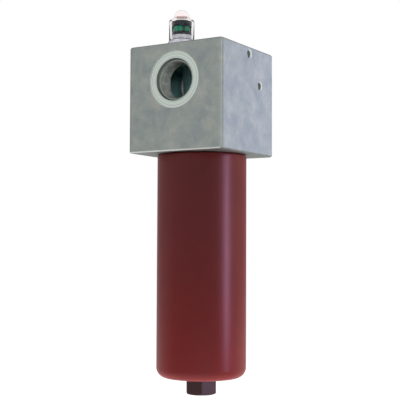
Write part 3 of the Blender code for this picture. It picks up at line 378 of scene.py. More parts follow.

# %% [markdown]
# Each mask below says how far a finish reaches, in millimetres. The limits lie a hair past the real edges, so
# that rounding never leaves a bare seam. Depths to the front and to the side count from the head's middle, and
# its outer faces are 50 away. Heights count from the ports, with the top at 33.5 and the underside at -65.

# %% Cast iron: masks of the machined and cored surfaces, the painted shade and the painted highlight
HEAD_HALF, HEAD_TOP, HEAD_UNDERSIDE = 50, 33.5, -65
CAST_SKIN = 3.5
PORT_END, BORE_END, BORE_START = 28, 26, 46.7
MOUTH_RADIUS, MOUTH_END = 19.6, 46.8
SEAT_RADIUS, SEAT_BORE, SEAT_BORE_END = 13.9, 12.4, 20
SOCKET_RADIUS, SOCKET_END = 39.4, -36.5
HOLE_REACH, HOLE_DEPTH, COUNTERSINK_DEPTH = 4.7, 14.6, 1.0
# Widths in mm of the painted highlight along the upright corners and the lower edges
CORNER_HIGHLIGHT, LOWER_EDGE_HIGHLIGHT = 1.1, 1.15


def within(tree, *limits):
    """1 where each distance lies between its limits in mm, given as (socket, low, high). None is no limit."""
    masks = []
    for socket, low, high in limits:
        for operation, limit in (("GREATER_THAN", low), ("LESS_THAN", high)):
            if limit is not None:
                settings = {"operation": operation, 0: socket, 1: limit * MM}
                masks.append(add_node(tree, "ShaderNodeMath", settings).outputs[0])
    return all_of(tree, *masks)


on_spotface = (port_distance, None, SPOTFACE_RADIUS + 0.1)
at_hole = (hole_distance, None, HOLE_REACH)
machined = any_of(
    tree,
    within(tree, on_spotface, (depth_y, PORT_END, SPOTFACE_Y + 0.05)),
    within(tree, (seat_distance, None, SEAT_BORE), (height, SEAT_BORE_END, HEAD_TOP + 0.2)),
    within(tree, (seat_distance, None, SEAT_RADIUS), (height, HEAD_TOP - 0.6, HEAD_TOP + 0.2)),
    within(tree, (bowl_distance, None, SOCKET_RADIUS), (height, HEAD_UNDERSIDE + 0.8, SOCKET_END)),
    within(tree, at_hole, (point_x, -HOLE_DEPTH, -0.02)),
)
# Painted highlight: a pale strip along the upright corners, the lower edges of the port faces, the spot faces'
# walls and the countersinks
painted_highlight = any_of(
    tree,
    within(tree, at_hole, (point_x, -COUNTERSINK_DEPTH, -0.02)),
    within(tree, on_spotface, (depth_y, SPOTFACE_Y + 0.03, None)),
    within(tree, (depth_x, HEAD_HALF - CORNER_HIGHLIGHT, None), (depth_y, HEAD_HALF - CORNER_HIGHLIGHT, None)),
    within(tree, (depth_y, HEAD_HALF - LOWER_EDGE_HIGHLIGHT, None), (height, None, HEAD_UNDERSIDE + LOWER_EDGE_HIGHLIGHT)),
)
# Painted shade: the seal cone at the mouth of each port is coloured darker
mouth_shade = within(tree, (port_distance, None, MOUTH_RADIUS), (depth_y, MOUTH_END, SPOTFACE_Y - 0.05))
bore_wall = within(tree, (port_distance, None, PORT_RADIUS + 0.2), (depth_y, BORE_END, BORE_START))
inside = within(
    tree,
    (depth_x, None, HEAD_HALF - CAST_SKIN),
    (depth_y, None, HEAD_HALF - CAST_SKIN),
    (height, HEAD_UNDERSIDE + 0.1, HEAD_TOP - 0.9),
)

# %% Cast iron: colour
drift = {"Scale": per_metre(16), "Detail": 4.0, "Roughness": 0.6, "Distortion": 0.4, "Vector": place}
clouds = add_node(tree, "ShaderNodeTexNoise", drift).outputs["Fac"]
stains = ((0.32, "#929a9c"), (0.46, "#9ca3a0"), (0.56, "#a2a8a4"), (0.70, "#adafa9"))
coat = set_stops(add_node(tree, "ShaderNodeValToRGB", {0: clouds}), *stains)
sand = {"Scale": per_metre(2.4), "Detail": 3.0, "Roughness": 0.7, "Vector": place}
speckle = add_node(tree, "ShaderNodeTexNoise", sand)
overlay = {"data_type": "RGBA", "blend_type": "OVERLAY", 0: 0.14, 6: coat, 7: speckle.outputs["Color"]}
colour = add_node(tree, "ShaderNodeMix", overlay).outputs[2]
marks = {"noise_dimensions": "1D", "Scale": per_metre(0.9), "Detail": 2.0, "W": port_distance}
rings = add_node(tree, "ShaderNodeTexNoise", marks).outputs["Fac"]
tooled = set_stops(add_node(tree, "ShaderNodeValToRGB", {0: rings}), (0.38, "#b0b9b2"), (0.62, "#d4ddd6"))
# Colours of the chamber, of the painted shade on the mouth's seal cone and of the painted highlight
OILY_GREEN, MOUTH_SHADE_COLOUR, HIGHLIGHT_COLOUR = linear("#6f9895"), linear("#828984"), linear("#e8ede9")

# Each layer covers the ones before it: the chamber, the machined faces, then the painted shade on the mouth and
# last the painted highlight
layers = ((inside, OILY_GREEN), (machined, tooled), (mouth_shade, MOUTH_SHADE_COLOUR), (painted_highlight, HIGHLIGHT_COLOUR))
for mask, over in layers:
    settings = {"data_type": "RGBA", 0: mask, 6: colour, 7: over}
    colour = add_node(tree, "ShaderNodeMix", settings).outputs[2]

# %% Cast iron: metal, roughness and relief
OILY_SKIN, OILY_BORE = 0.7, 0.5
MACHINED_ROUGHNESS = 0.36

grain = speckle.outputs["Fac"]
oily_skin = all_of(tree, inside, none_of(tree, machined), OILY_SKIN)
oily_bore = all_of(tree, bore_wall, OILY_BORE)
cast_rough = add_node(tree, "ShaderNodeMapRange", {"To Min": 0.50, "To Max": 0.64, "Value": grain}).outputs[0]
either = {"data_type": "FLOAT", 0: machined, 2: cast_rough, 3: MACHINED_ROUGHNESS}
skin = add_node(tree, "ShaderNodeBump", {"Strength": 0.25, "Distance": 0.3 * MM, "Height": grain}).outputs[0]
grooves = {"Strength": 0.35, "Distance": 0.2 * MM, "Height": all_of(tree, rings, machined), "Normal": skin}
feed(
    shader,
    {
        "Base Color": colour,
        "Metallic": none_of(tree, any_of(tree, oily_skin, oily_bore)),
        "Roughness": add_node(tree, "ShaderNodeMix", either).outputs[0],
        "Normal": add_node(tree, "ShaderNodeBump", grooves).outputs["Normal"],
    },
)


# %% Put the finish on the head
def finish_node(name, material):
    """Gives a node of the frame its finish."""
    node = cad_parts[name]
    for slot in node.material_slots:
        slot.link = "DATA"
        slot.material = material
    if not node.material_slots:
        node.data.materials.append(material)


finish_node("filter_head", cast_iron)
print("head finish:", len(cast_iron.node_tree.nodes), "nodes")


# %% [markdown]
# ## Turned pieces
#
# Most of the rest is turned on a lathe, so it is drawn as half a section and spun round an axis. The section
# is a list of (radius, height) points in millimetres. Real edges are never quite sharp, so each corner is
# rounded first, with a few points along a curve that starts and ends a small distance from the corner. Two of
# the pieces carry a hexagon for a spanner. Along that stretch the ring is drawn in to the flats wherever it
# would stand out past them, which is what a milling cutter does to a turned bar.

# %% Sections
ON_AXIS = 1e-6
LONGEST_ROUND = 0.45


def arc(centre, radius, start, end, steps, height=None):
    """Points of an arc in a section, angles in degrees. A height of its own makes it part of an ellipse."""
    points = []
    for k in range(steps + 1):
        angle = math.radians(start + (end - start) * k / steps)
        points.append((centre[0] + radius * math.cos(angle), centre[1] + (height or radius) * math.sin(angle)))
    return points


def rounded(section, size, steps=3):
    """Rounds each corner of a section by up to the given size, less where a side is short."""
    points = [Vector(p) for p in section]
    result = []
    for i, corner in enumerate(points):
        before, after = points[i - 1], points[(i + 1) % len(points)]
        if corner.x < ON_AXIS:
            result.append(corner)
            continue
        into, out = before - corner, after - corner
        start = corner + into.normalized() * min(size, LONGEST_ROUND * into.length)
        end = corner + out.normalized() * min(size, LONGEST_ROUND * out.length)
        for k in range(steps + 1):
            t = k / steps
            result.append(start * (1 - t) ** 2 + corner * 2 * t * (1 - t) + end * t**2)
    return result


# %% Lathe
def flats_radius(angle, flats):
    """Distance from the axis to the side of a hexagon whose first corner is at angle zero."""
    return flats / 2 / math.cos((angle + 1e-9) % (math.pi / 3) - math.pi / 6)


def spin_section(bm, section, steps, hexagon=None, start=0.0):
    """Spins a section in millimetres into the mesh. A hexagon is (across flats, lowest, highest)."""
    rings = []
    for radius, z in section:
        if radius < ON_AXIS:
            rings.append([bm.verts.new((0, 0, z * MM))] * steps)
            continue
        ring = []
        for i in range(steps):
            angle = math.tau * i / steps
            reach = radius
            if hexagon and hexagon[1] <= z <= hexagon[2]:
                reach = min(radius, flats_radius(angle, hexagon[0]))
            x, y = reach * math.cos(angle + start), reach * math.sin(angle + start)
            ring.append(bm.verts.new((x * MM, y * MM, z * MM)))
        rings.append(ring)
    axis_to_axis = section[0][0] < ON_AXIS and section[-1][0] < ON_AXIS
    for k in range(len(rings) - 1 if axis_to_axis else len(rings)):
        upper, lower = rings[k], rings[(k + 1) % len(rings)]
        for i in range(steps):
            corners = []
            for vert in (upper[i], lower[i], lower[(i + 1) % steps], upper[(i + 1) % steps]):
                if vert not in corners:
                    corners.append(vert)
            if len(corners) > 2:
                bm.faces.new(corners)


# %% Pieces
def piece_from(bm, name, place, body, materials, replaced=(), sharp_degrees=40):
    """Makes a piece of the filter from a mesh under construction, puts it on its body if it has one, and hides
    the nodes it replaces.
    """
    bmesh.ops.recalc_face_normals(bm, faces=bm.faces)
    mesh = bpy.data.meshes.new(name)
    bm.to_mesh(mesh)
    bm.free()
    mesh.shade_smooth()
    mesh.set_sharp_from_angle(angle=math.radians(sharp_degrees))
    for material in materials:
        mesh.materials.append(material)
    obj = bpy.data.objects.new(name, mesh)
    scene.collection.objects.link(obj)
    obj.location = place
    if body:
        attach(obj, body)
    if replaced:
        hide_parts(*replaced)
    print(name, "has", len(mesh.polygons), "faces")
    return obj


def turned_piece(name, section, place, body, material, replaced, steps=96, edge=0.15, hexagon=None):
    """A turned piece with rounded edges, which stands for a node of the frame."""
    bm = bmesh.new()
    spin_section(bm, rounded(section, edge) if edge else section, steps, hexagon)
    return piece_from(bm, name, place, body, [material], [replaced])


# %% [markdown]
# ## Threads
#
# The ports are M36 threads of 2 mm pitch, and the two fixing holes are M8. Seen through the mouth, a thread is
# a row of bright crests. It is drawn as one ridge that climbs round the bore: four points for its section,
# repeated along a helix, with its back sunk a little into the bore's wall. The bowl and its socket in the head
# have a thread of 2 mm pitch, which is also how far the bowl drops in one turn, so their ridges are set half a
# pitch apart and stay clear of each other as the bowl unscrews.

# %% Ridge along a helix
def helix_ridge(root, crest, pitch, turns, start_z=0.0, steps=72):
    """A right-hand thread's ridge from the root radius to the crest radius, in mm, that fades in and out."""
    bm = bmesh.new()
    foot, tip = 0.40 * pitch, 0.09 * pitch
    count = int(turns * steps)
    rows = []
    for i in range(count + 1):
        angle = math.tau * i / steps
        z = start_z + pitch * i / steps
        fade = min(1.0, 3 * i / steps, 3 * (count - i) / steps)
        top = root + (crest - root) * (0.04 + 0.96 * fade)
        row = []
        for radius, rise in ((root, -foot), (top, -tip), (top, tip), (root, foot)):
            point = (radius * math.cos(angle) * MM, radius * math.sin(angle) * MM, (z + rise) * MM)
            row.append(bm.verts.new(point))
        rows.append(row)
    join_rows(bm, rows)
    return bm


def join_rows(bm, rows):
    """Closes a tube over rows of points, with a face at each end."""
    for first, second in zip(rows, rows[1:]):
        for k in range(len(first)):
            n = (k + 1) % len(first)
            bm.faces.new((first[k], first[n], second[n], second[k]))
    bm.faces.new(rows[0])
    bm.faces.new(rows[-1])


def aim(bm, direction):
    """Turns a mesh built along Z so that it points in another direction."""
    turn = Vector(direction).to_track_quat("Z", "Y").to_matrix()
    bmesh.ops.rotate(bm, cent=(0, 0, 0), matrix=turn, verts=bm.verts)
    return bm


# %% Bright machined iron of the threads
cut_iron, tree, shader, place = new_material("tapped_cast_iron")
blotches = {"Scale": per_metre(5), "Detail": 4.0, "Roughness": 0.65, "Vector": place}
smear = add_node(tree, "ShaderNodeTexNoise", blotches).outputs["Fac"]
tones = ((0.30, "#7f817e"), (0.55, "#a6a8a1"), (0.75, "#c9cbc3"))
colour = set_stops(add_node(tree, "ShaderNodeValToRGB", {0: smear}), *tones)
grained(shader, colour, smear, (0.32, 0.46), (0.15, 0.1))
shader.inputs["Metallic"].default_value = 0.6

# %% Threads of the head
PORT_ROOT, PORT_CREST, PORT_PITCH, PORT_TURNS = PORT_RADIUS + 0.05, 16.92, 2.0, 8.3
PORT_THREAD_START = 29.6
HOLE_ROOT, HOLE_CREST, HOLE_PITCH, HOLE_TURNS = 3.58, 3.32, 1.25, 8.4
HOLE_THREAD_START = -12.0
BOWL_PITCH, BOWL_TURNS, BOWL_THREAD_START = 2.0, 7.4, 2.0
BOWL_THREAD_STEPS = 120

for name, side in (("inlet_port_thread", -1), ("outlet_port_thread", 1)):
    bm = aim(helix_ridge(PORT_ROOT, PORT_CREST, PORT_PITCH, PORT_TURNS), (0, side, 0))
    start = HEAD_MIDDLE + Vector((0, side * PORT_THREAD_START, 0)) * MM
    piece_from(bm, name, start, "head", [cut_iron])

for name, (y, z) in FIXING_HOLES.items():
    bm = aim(helix_ridge(HOLE_ROOT, HOLE_CREST, HOLE_PITCH, HOLE_TURNS, steps=40), (1, 0, 0))
    piece_from(bm, name, Vector((HOLE_THREAD_START, y, z)) * MM, "head", [cut_iron])

socket_start = BOWL_THREAD_START + BOWL_PITCH / 2
bm = helix_ridge(39.35, 38.35, BOWL_PITCH, BOWL_TURNS, socket_start, BOWL_THREAD_STEPS)
piece_from(bm, "bowl_socket_thread", BOWL_AXIS, "head", [cut_iron])

# %% [markdown]
# ### Rim of the cross duct
#
# Seen through the front port, a pale curved edge stands in the dark of the chamber. It is the rim of the
# horizontal duct, which meets the upright one in the middle: a ring in line with the ports, 36 mm across, that
# reaches 9.5 mm to the front of the middle. Its face is matt, so it scatters the light that reaches it and
# doesn't mirror the dark chamber.

# %% Duct rim
RIM_INNER, RIM_OUTER, RIM_REACH = 15.2, 17.9, 9.5

matt_rim = cut_iron.copy()
matt_rim.name = "matt_cast_iron_rim"
matt_rim.node_tree.nodes["Principled BSDF"].inputs["Metallic"].default_value = 0.0
rim_section = [(RIM_INNER, RIM_REACH), (RIM_OUTER, RIM_REACH), (RIM_OUTER, 0), (RIM_INNER, 0)]
bm = bmesh.new()
spin_section(bm, rounded(rim_section, 0.5), 96)
piece_from(aim(bm, (0, -1, 0)), "cross_duct_rim", HEAD_MIDDLE, "head", [matt_rim])

# %% [markdown]
# ## Bowl: satin red enamel on steel
#
# The bowl is a thick steel cup with a hexagon on its closed end, so that a spanner can unscrew it. It is
# painted outside with a satin red enamel, coloured darker on the spanner's flats. Its neck stays bare for
# the thread and the seals, above a foot kept in the red enamel as painted shade in the narrow gap under the
# head. The cup is spun from its half section, which starts at the middle of the hexagon's end, climbs the
# outside to the neck and runs down the bore again. Faces of the bore and of the neck above that foot get the
# bare steel, all others the enamel.

# %% Red enamel
BOWL_FLOOR = -208.0

enamel, tree, shader, place = new_material("satin_red_enamel")
blotches = {"Scale": per_metre(30), "Detail": 3.0, "Roughness": 0.55, "Vector": place}
drift = add_node(tree, "ShaderNodeTexNoise", blotches).outputs["Fac"]
paint = set_stops(add_node(tree, "ShaderNodeValToRGB", {0: drift}), (0.30, "#841a1c"), (0.70, "#8c1e1f"))
height = add_node(tree, "ShaderNodeSeparateXYZ", {0: place}).outputs["Z"]
# The hexagon's flats are coloured a dark brown-red
on_hexagon = within(tree, (height, None, BOWL_FLOOR - 0.1))
darker_flats = {"data_type": "RGBA", 0: on_hexagon, 6: paint, 7: linear("#331519")}
colour = add_node(tree, "ShaderNodeMix", darker_flats).outputs[2]
orange_peel = add_node(tree, "ShaderNodeTexNoise", {"Scale": per_metre(1.6), "Vector": place}).outputs["Fac"]
grained(shader, colour, orange_peel, (0.30, 0.36), (0.06, 0.1))
shader.inputs["IOR"].default_value = 1.5
shader.inputs["Specular IOR Level"].default_value = 0.36


# %% Turned metals
def turned_metal(name, dark, light, roughness, mark_mm=0.5):
    """A metal with drifting tone, and with the rings of a lathe tool in its roughness and height along Z."""
    material, tree, shader, place = new_material(name)
    height = add_node(tree, "ShaderNodeSeparateXYZ", {0: place}).outputs["Z"]
    rings = {"noise_dimensions": "1D", "Scale": per_metre(mark_mm), "Detail": 2.0, "W": height}
    marks = add_node(tree, "ShaderNodeTexNoise", rings).outputs["Fac"]
    blotches = {"Scale": per_metre(4), "Detail": 3.0, "Vector": place}
    blotch = add_node(tree, "ShaderNodeTexNoise", blotches).outputs["Fac"]
    colour = set_stops(add_node(tree, "ShaderNodeValToRGB", {0: blotch}), (0.30, dark), (0.70, light))
    grained(shader, colour, marks, (roughness - 0.06, roughness + 0.06), (0.2, 0.05))
    shader.inputs["Metallic"].default_value = 1.0
    return material


bare_steel = turned_metal("turned_steel", "#9a9ea1", "#c2c6ca", 0.30)

# %% Bowl: outside with the hexagon
BOWL_RADIUS, FOOT_ROUND = 42.0, 9.5
SHOULDER, SHOULDER_ROUND = -0.8, 1.2
BOWL_FLATS = 27.0
HEX_CORNER = BOWL_FLATS / 2 / math.cos(math.pi / 6)
HEX_END = -223.4
HEX_END_RADIUS = BOWL_FLATS / 2 * 0.95
HEX_TURN = math.radians(90 + 33.8)
CHAMFER_STEPS = 8

hexagon_chamfer = []
for k in range(CHAMFER_STEPS + 1):
    outward = (HEX_CORNER - HEX_END_RADIUS) * k / CHAMFER_STEPS
    hexagon_chamfer.append((HEX_END_RADIUS + outward, HEX_END + outward * math.tan(math.radians(30))))
outside = [
    (0, HEX_END),
    *hexagon_chamfer,
    (HEX_CORNER, BOWL_FLOOR),
    *arc((BOWL_RADIUS - FOOT_ROUND, BOWL_FLOOR + FOOT_ROUND), FOOT_ROUND, -90, 0, 14),
    *arc((BOWL_RADIUS - SHOULDER_ROUND, SHOULDER - SHOULDER_ROUND), SHOULDER_ROUND, 0, 90, 4),
]

# %% Bowl: neck, bore and the whole cup
BORE_RADIUS, BORE_FLOOR, BORE_ROUND = 33.0, -197.0, 6.0
NECK, THREAD_NECK, SEAL_NECK, SEAL_GROOVE = 37.7, 37.9, 37.3, 35.0
# Below this height the neck keeps the red enamel, as painted shade in the gap under the head
GAP_SHADE_HEIGHT = 1.3
BOWL_STEPS = 168

neck_in_gap_shade = [(NECK, SHOULDER), (NECK, 1.2)]
thread_neck = [(THREAD_NECK, 1.4), (THREAD_NECK, 18.2), (37.5, 18.6), (SEAL_NECK, 18.7)]
seal_groove = [(SEAL_NECK, 20.6), (SEAL_GROOVE, 20.6), (SEAL_GROOVE, 24.7), (SEAL_NECK, 24.7)]
lip = [(SEAL_NECK, 25.8), (36.5, 26.6), (33.8, 26.6)]
bore = [
    (BORE_RADIUS, 25.8),
    *arc((BORE_RADIUS - BORE_ROUND, BORE_FLOOR + BORE_ROUND), BORE_ROUND, 0, -90, 8),
    (0, BORE_FLOOR),
]
bm = bmesh.new()
section = [*outside, *neck_in_gap_shade, *thread_neck, *seal_groove, *lip, *bore]
hexagon = (BOWL_FLATS, HEX_END - 1, BOWL_FLOOR + 0.5)
spin_section(bm, section, BOWL_STEPS, hexagon, HEX_TURN)
finishes = [enamel, bare_steel]
bowl = piece_from(bm, "filter_bowl_turned", BOWL_AXIS, "bowl", finishes, ["filter_bowl"], 30)
# Faces of the neck's foot get the enamel, which is painted shade in the gap under the head
for face in bowl.data.polygons:
    x, y, z = face.center / MM
    in_bore = math.hypot(x, y) < BORE_RADIUS + 0.9 and z > BORE_FLOOR - 0.1
    face.material_index = 1 if z > GAP_SHADE_HEIGHT or in_bore else 0
link_light(lamps["strip_light"], bowl, "INCLUDE")
link_light(lamps["front_softbox"], bowl, "EXCLUDE")

bm = helix_ridge(37.85, 39.0, BOWL_PITCH, BOWL_TURNS, BOWL_THREAD_START, BOWL_THREAD_STEPS)
piece_from(bm, "bowl_thread", BOWL_AXIS, "bowl", [bare_steel])

# %% [markdown]
# ## Rubber and PTFE seals
#
# Five rubber rings keep the oil in and the damp out, and a white PTFE ring backs the largest. Moulded rubber is
# nearly black and matte, with a faint bloom. PTFE is milky and soft to the light. The PTFE ring keeps the
# frame's shape, and each rubber ring is a small round section spun round its axis. The one under the clear
# cover is squeezed flat by it.

# %% Nitrile rubber
rubber, tree, shader, place = new_material("nitrile_rubber")
dust = {"Scale": per_metre(3), "Detail": 4.0, "Vector": place}
bloom = add_node(tree, "ShaderNodeTexNoise", dust).outputs["Fac"]
colour = set_stops(add_node(tree, "ShaderNodeValToRGB", {0: bloom}), (0.35, "#1b1b1d"), (0.70, "#2b2b2e"))
grained(shader, colour, bloom, (0.5, 0.7), (0.1, 0.05))

# %% Seal rings
RING_SIDES = 20

# Each seal's section in mm comes last: the radius and height of its centre, its half width and half height
seals = (
    ("bowl_o_ring", BOWL_AXIS, "bowl_seals", 120, 36.3, 23.4, 1.0, 1.0),
    ("element_o_ring", BOWL_AXIS, "head", 120, 17.35, 13.7, 0.9, 0.9),
    ("indicator_cover_seal", INDICATOR_AXIS, "head", 96, 9.15, 4.155, 0.75, 0.54),
    ("indicator_flange_seal", INDICATOR_AXIS, "head", 120, 11.08, -0.78, 0.75, 0.75),
    ("indicator_stem_seal", INDICATOR_AXIS, "head", 120, 9.25, -8.0, 0.6, 0.6),
)
for seal, axis, body, steps, radius, z, half_width, half_height in seals:
    name = seal + "_ring" if half_width == half_height else "cover_seal_squeezed"
    section = arc((radius, z), half_width, 0, 360, RING_SIDES, half_height)[:-1]
    turned_piece(name, section, axis, body, rubber, seal, steps, edge=0)

# %% [markdown]
# ## Indicator
#
# The indicator screws into the head through its spot face. Its plated metal body ends in a bright collar that
# carries a black window frame. Behind the windows a sleeve rises with the pressure loss: green shows at rest
# and red when the element is clogged. A clear moulded cover with a dome keeps it all dry. Real polycarbonate
# bends light more than this cover does: the lower index keeps its outline thin and pale.

# %% Indicator body
plated = turned_metal("nickel_plated_brass", "#a9abb4", "#d0d2da", 0.22, 0.4)
spindle_bore = [(0, 0.1), (3.5, 0.1), (3.5, 6.31)]
frame_collar = [(7.9, 6.31), (7.9, 8.51), (9.3, 8.51), (9.3, 4.71)]
cover_groove = [(8.25, 4.71), (8.25, 3.6), (11.65, 3.6), (11.65, 2.35)]
flange = [(13.0, 2.3), (13.4, 1.9), (13.4, 0.7), (13.0, 0.3)]
stem = [(9.6, 0.3), (9.6, -2.7), (10.0, -3.1), (10.0, -7.1)]
stem_groove = [(8.2, -7.1), (8.2, -8.9), (10.0, -8.9), (10.0, -9.6)]
piston_bore = [(9.6, -10.0), (4.8, -10.0), (4.8, -1.5), (0, -1.5)]
turned_piece(
    "indicator_body_plated",
    [*spindle_bore, *frame_collar, *cover_groove, *flange, *stem, *stem_groove, *piston_bore],
    INDICATOR_AXIS,
    "head",
    plated,
    "indicator_body",
    hexagon=(24.0, 0.2, 2.32),
)

# %% Clear cover
clear, tree, shader, place = new_material("clear_polycarbonate")
flow = add_node(tree, "ShaderNodeTexNoise", {"Scale": per_metre(6), "Vector": place}).outputs["Fac"]
height = add_node(tree, "ShaderNodeSeparateXYZ", {0: place}).outputs["Z"]
dome = {"From Min": 20.5 * MM, "From Max": 24.0 * MM, "Value": height}
in_dome = add_node(tree, "ShaderNodeMapRange", dome).outputs["Result"]
tints = {"data_type": "RGBA", 0: in_dome, 6: linear("#f3f3f2"), 7: linear("#fff8f8")}
feed(
    shader,
    {
        "Base Color": add_node(tree, "ShaderNodeMix", tints).outputs[2],
        "Roughness": add_node(tree, "ShaderNodeMapRange", {"To Max": 0.02, "Value": flow}).outputs["Result"],
    },
)
shader.inputs["Transmission Weight"].default_value = 1.0
shader.inputs["IOR"].default_value = 1.28
shader.inputs["Specular Tint"].default_value = linear("#4a7a9a")

COVER_RADIUS, COVER_BORE, COVER_BASE = 11.65, 9.95, 3.9
COVER_SHOULDER, DOME_BASE = 21.31, 25.31
cover_section = [
    *arc((0, DOME_BASE), 7.1, 90, 0, 18, height=7.0),
    *arc((COVER_RADIUS - 1.3, COVER_SHOULDER), 1.3, 60, 0, 8),
    (COVER_RADIUS, COVER_BASE),
    (COVER_BORE, COVER_BASE),
    (COVER_BORE, COVER_SHOULDER),
    *arc((0, DOME_BASE), 5.8, 0, 90, 16, height=5.7),
]
turned_piece(
    "indicator_cover_clear",
    cover_section,
    INDICATOR_AXIS,
    "head",
    clear,
    "indicator_cover",
    steps=128,
    edge=0.08,
)


# %% Moulded plastics
def moulded(name, dark, light, roughness, blotch_mm=3.0):
    """A moulded plastic: an even colour with a little drift, and the fine grain of the mould."""
    material, tree, shader, place = new_material(name)
    blotches = {"Scale": per_metre(blotch_mm), "Detail": 3.0, "Vector": place}
    blotch = add_node(tree, "ShaderNodeTexNoise", blotches).outputs["Fac"]
    grain = add_node(tree, "ShaderNodeTexNoise", {"Scale": per_metre(0.4), "Vector": place}).outputs["Fac"]
    rough = {"To Min": roughness - 0.05, "To Max": roughness + 0.05, "Value": blotch}
    bumps = {"Strength": 0.08, "Distance": 0.05 * MM, "Height": grain}
    tone = add_node(tree, "ShaderNodeValToRGB", {0: blotch})
    feed(
        shader,
        {
            "Base Color": set_stops(tone, (0.35, dark), (0.70, light)),
            "Roughness": add_node(tree, "ShaderNodeMapRange", rough).outputs["Result"],
            "Normal": add_node(tree, "ShaderNodeBump", bumps).outputs["Normal"],
        },
    )
    return material


black_acetal = moulded("black_acetal", "#0e0f16", "#15161d", 0.32)
pale_pink_acetal = moulded("pale_pink_acetal", "#ecd2d0", "#f5e2e0", 0.30)
ptfe = moulded("ptfe", "#dcd9cf", "#e9e6dd", 0.45)

# %% [markdown]
# ### Window frame
#
# The frame is a thin ring with four windows and four ribs between them. It is laid out as a ring of cells, like
# bricks in a round wall. A window is where the bricks are left out, and the frame gets a face wherever a brick
# meets open air.

# %% Window frame from cells
FRAME_OUTER, FRAME_INNER = 9.3, 7.9
FRAME_LEVELS = (8.81, 11.41, 16.51, 21.01)
RIB_HALF = 0.8
WINDOWS = 4
CELLS_PER_WINDOW = 36


def frame_angles():
    """Angles round the ring, with an edge exactly at both sides of each rib."""
    rib = math.asin(RIB_HALF / FRAME_OUTER)
    quarter = math.tau / WINDOWS
    opening_cells = CELLS_PER_WINDOW - 2
    angles = []
    for window in range(WINDOWS):
        first = math.pi / 4 + window * quarter
        angles += [first - rib, first]
        angles += [first + rib + (quarter - 2 * rib) * k / opening_cells for k in range(opening_cells)]
    return angles


def build_window_frame():
    """The window frame, with its cells numbered round the ring, up, and from outside to inside."""
    bm = bmesh.new()
    angles = frame_angles()
    grid = {}
    for i, angle in enumerate(angles):
        for k, z in enumerate(FRAME_LEVELS):
            for side, radius in enumerate((FRAME_OUTER, FRAME_INNER)):
                point = (radius * math.cos(angle) * MM, radius * math.sin(angle) * MM, z * MM)
                grid[i, k, side] = bm.verts.new(point)

    def solid(i, k):
        return k in (0, 2) or (k == 1 and i % CELLS_PER_WINDOW < 2)

    def add_face(*corners):
        bm.faces.new([grid[corner] for corner in corners])

    count = len(angles)
    for i in range(count):
        n = (i + 1) % count
        for k in range(3):
            if not solid(i, k):
                continue
            for side in (0, 1):
                add_face((i, k, side), (n, k, side), (n, k + 1, side), (i, k + 1, side))
            for level, beyond in ((k, k - 1), (k + 1, k + 1)):
                if not solid(i, beyond):
                    add_face((i, level, 0), (n, level, 0), (n, level, 1), (i, level, 1))
            for edge, beyond in ((i, (i - 1) % count), (n, n)):
                if not solid(beyond, k):
                    add_face((edge, k, 0), (edge, k + 1, 0), (edge, k + 1, 1), (edge, k, 1))
    return bm


piece_from(
    build_window_frame(),
    "indicator_window_frame_moulded",
    INDICATOR_AXIS,
    "head",
    [black_acetal],
    ["indicator_window_frame"],
)

# %% Band: green above, red below
BAND_CHANGE = 11.35

two_tone, tree, shader, place = new_material("green_and_red_acetal")
height = add_node(tree, "ShaderNodeSeparateXYZ", {0: place}).outputs["Z"]
upper = within(tree, (height, BAND_CHANGE, None))
drift = add_node(tree, "ShaderNodeTexNoise", {"Scale": per_metre(3), "Vector": place}).outputs["Fac"]
green = set_stops(add_node(tree, "ShaderNodeValToRGB", {0: drift}), (0.35, "#13835f"), (0.70, "#1b9a72"))
red = set_stops(add_node(tree, "ShaderNodeValToRGB", {0: drift}), (0.35, "#b3221d"), (0.70, "#c62c25"))
halves = {"data_type": "RGBA", 0: upper, 6: red, 7: green}
rough = {"To Min": 0.22, "To Max": 0.3, "Value": drift}
feed(
    shader,
    {
        "Base Color": add_node(tree, "ShaderNodeMix", halves).outputs[2],
        "Roughness": add_node(tree, "ShaderNodeMapRange", rough).outputs["Result"],
    },
)

band_disc = [(1.5, 16.66), (7.3, 16.66), (7.6, 16.36)]
band_sleeve = [(7.6, 6.61), (6.2, 6.61), (6.2, 15.26), (1.5, 15.26)]
turned_piece(
    "indicator_band_moulded",
    [*band_disc, *band_sleeve],
    INDICATOR_AXIS,
    "band",
    two_tone,
    "indicator_band",
    edge=0.1,
)

# %% Guide ring in the dome
turned_piece(
    "indicator_guide_moulded",
    [(1.5, 25.66), (5.38, 25.66), (5.38, 23.16), (1.5, 23.16)],
    INDICATOR_AXIS,
    "head",
    pale_pink_acetal,
    "indicator_guide",
    edge=0.25,
)

# %% [markdown]
# ## Element, valve and inner metal
#
# The other pieces, inside the bowl and the indicator, keep the frame's shapes and get their finishes:
# zinc-plated sheet for the end caps, the core tube, the valve cage and the seat of the piston's spring,
# glass-fibre media for the pleats, bright steel for the poppet, the spindle and the piston, and dull ferrite
# for the magnets. The springs are coiled anew below, from drawn wire.

# %% Inner finishes
zinc_sheet = turned_metal("zinc_plated_sheet", "#8d9297", "#b4b9bd", 0.34, 1.2)
spring_wire = turned_metal("drawn_spring_wire", "#6b6d70", "#8f9194", 0.28, 0.6)
ferrite = turned_metal("ferrite_magnet", "#3a3b3e", "#4c4d50", 0.45, 0.8)
media = moulded("glass_fibre_media", "#cfc9b6", "#ddd8c8", 0.8, 2.0)

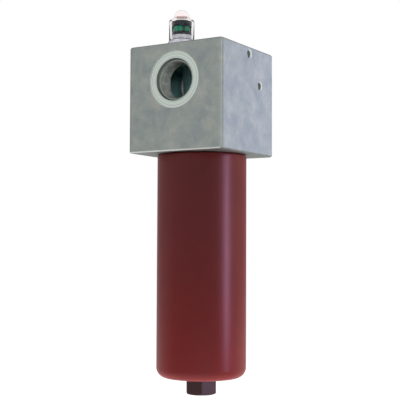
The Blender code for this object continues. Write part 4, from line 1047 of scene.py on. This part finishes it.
inner_finishes = {
    zinc_sheet: (
        "element_top_cap",
        "element_bottom_cap",
        "element_core_tube",
        "bypass_cage",
        "piston_spring_seat",
    ),
    media: ("element_pleat_pack",),
    bare_steel: ("bypass_poppet", "indicator_spindle", "sensing_piston"),
    ferrite: ("spindle_magnet", "piston_magnet"),
    ptfe: ("bowl_backup_ring",),
}
for material, names in inner_finishes.items():
    for name in names:
        finish_node(name, material)
    print(material.name, "on", len(names), "pieces")

# %% [markdown]
# ### Springs
#
# Three compression springs close the bypass valve, return the band and return the sensing piston. A spring
# like these is coiled from round wire with its last turn closed at each end, so that it stands square. In the
# filter one end stays on the head and the other goes with the piece that it pushes. Here each is coiled
# between the ends of its node in the frame and doesn't follow that piece.

# %% Springs coiled to their length in the frame
CLOSED_PITCH = 1.04


def coil(radius, wire, turns, length, steps=28, sides=10):
    """A compression spring that stands on the origin, in mm, with one closed turn at each end."""
    bm = bmesh.new()
    closed = CLOSED_PITCH * wire
    pitch = (length - wire - 2 * closed) / (turns - 2)
    rows = []
    for i in range(turns * steps + 1):
        turn = i / steps
        middle_turns = min(max(turn - 1, 0), turns - 2)
        z = wire / 2 + closed * (turn - middle_turns) + pitch * middle_turns
        row = []
        for k in range(sides):
            side = math.tau * k / sides
            reach = radius + wire / 2 * math.cos(side)
            x, y = reach * math.cos(math.tau * turn), reach * math.sin(math.tau * turn)
            row.append(bm.verts.new((x * MM, y * MM, (z + wire / 2 * math.sin(side)) * MM)))
        rows.append(row)
    join_rows(bm, rows)
    return bm


springs = (
    ("bypass_spring", 6.25, 1.6, 6, "bypass", BOWL_AXIS, "high"),
    ("band_spring", 4.85, 0.6, 6, "band", INDICATOR_AXIS, "low"),
    ("piston_spring", 3.70, 0.5, 3, "piston", INDICATOR_AXIS, "low"),
)
for name, radius, wire, turns, mover, axis, fixed_end in springs:
    low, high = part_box(name)
    foot, top = Vector((axis.x, axis.y, low[2])), Vector((axis.x, axis.y, high[2]))
    bm = coil(radius, wire, turns, (top.z - foot.z) / MM)
    spring = piece_from(bm, name + "_coiled", foot, None, [spring_wire], [name])
    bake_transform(spring)

# %% Write the sizes and finish
low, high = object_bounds()
print("dressed:", [round(1000 * side, 1) for side in high - low], "mm")
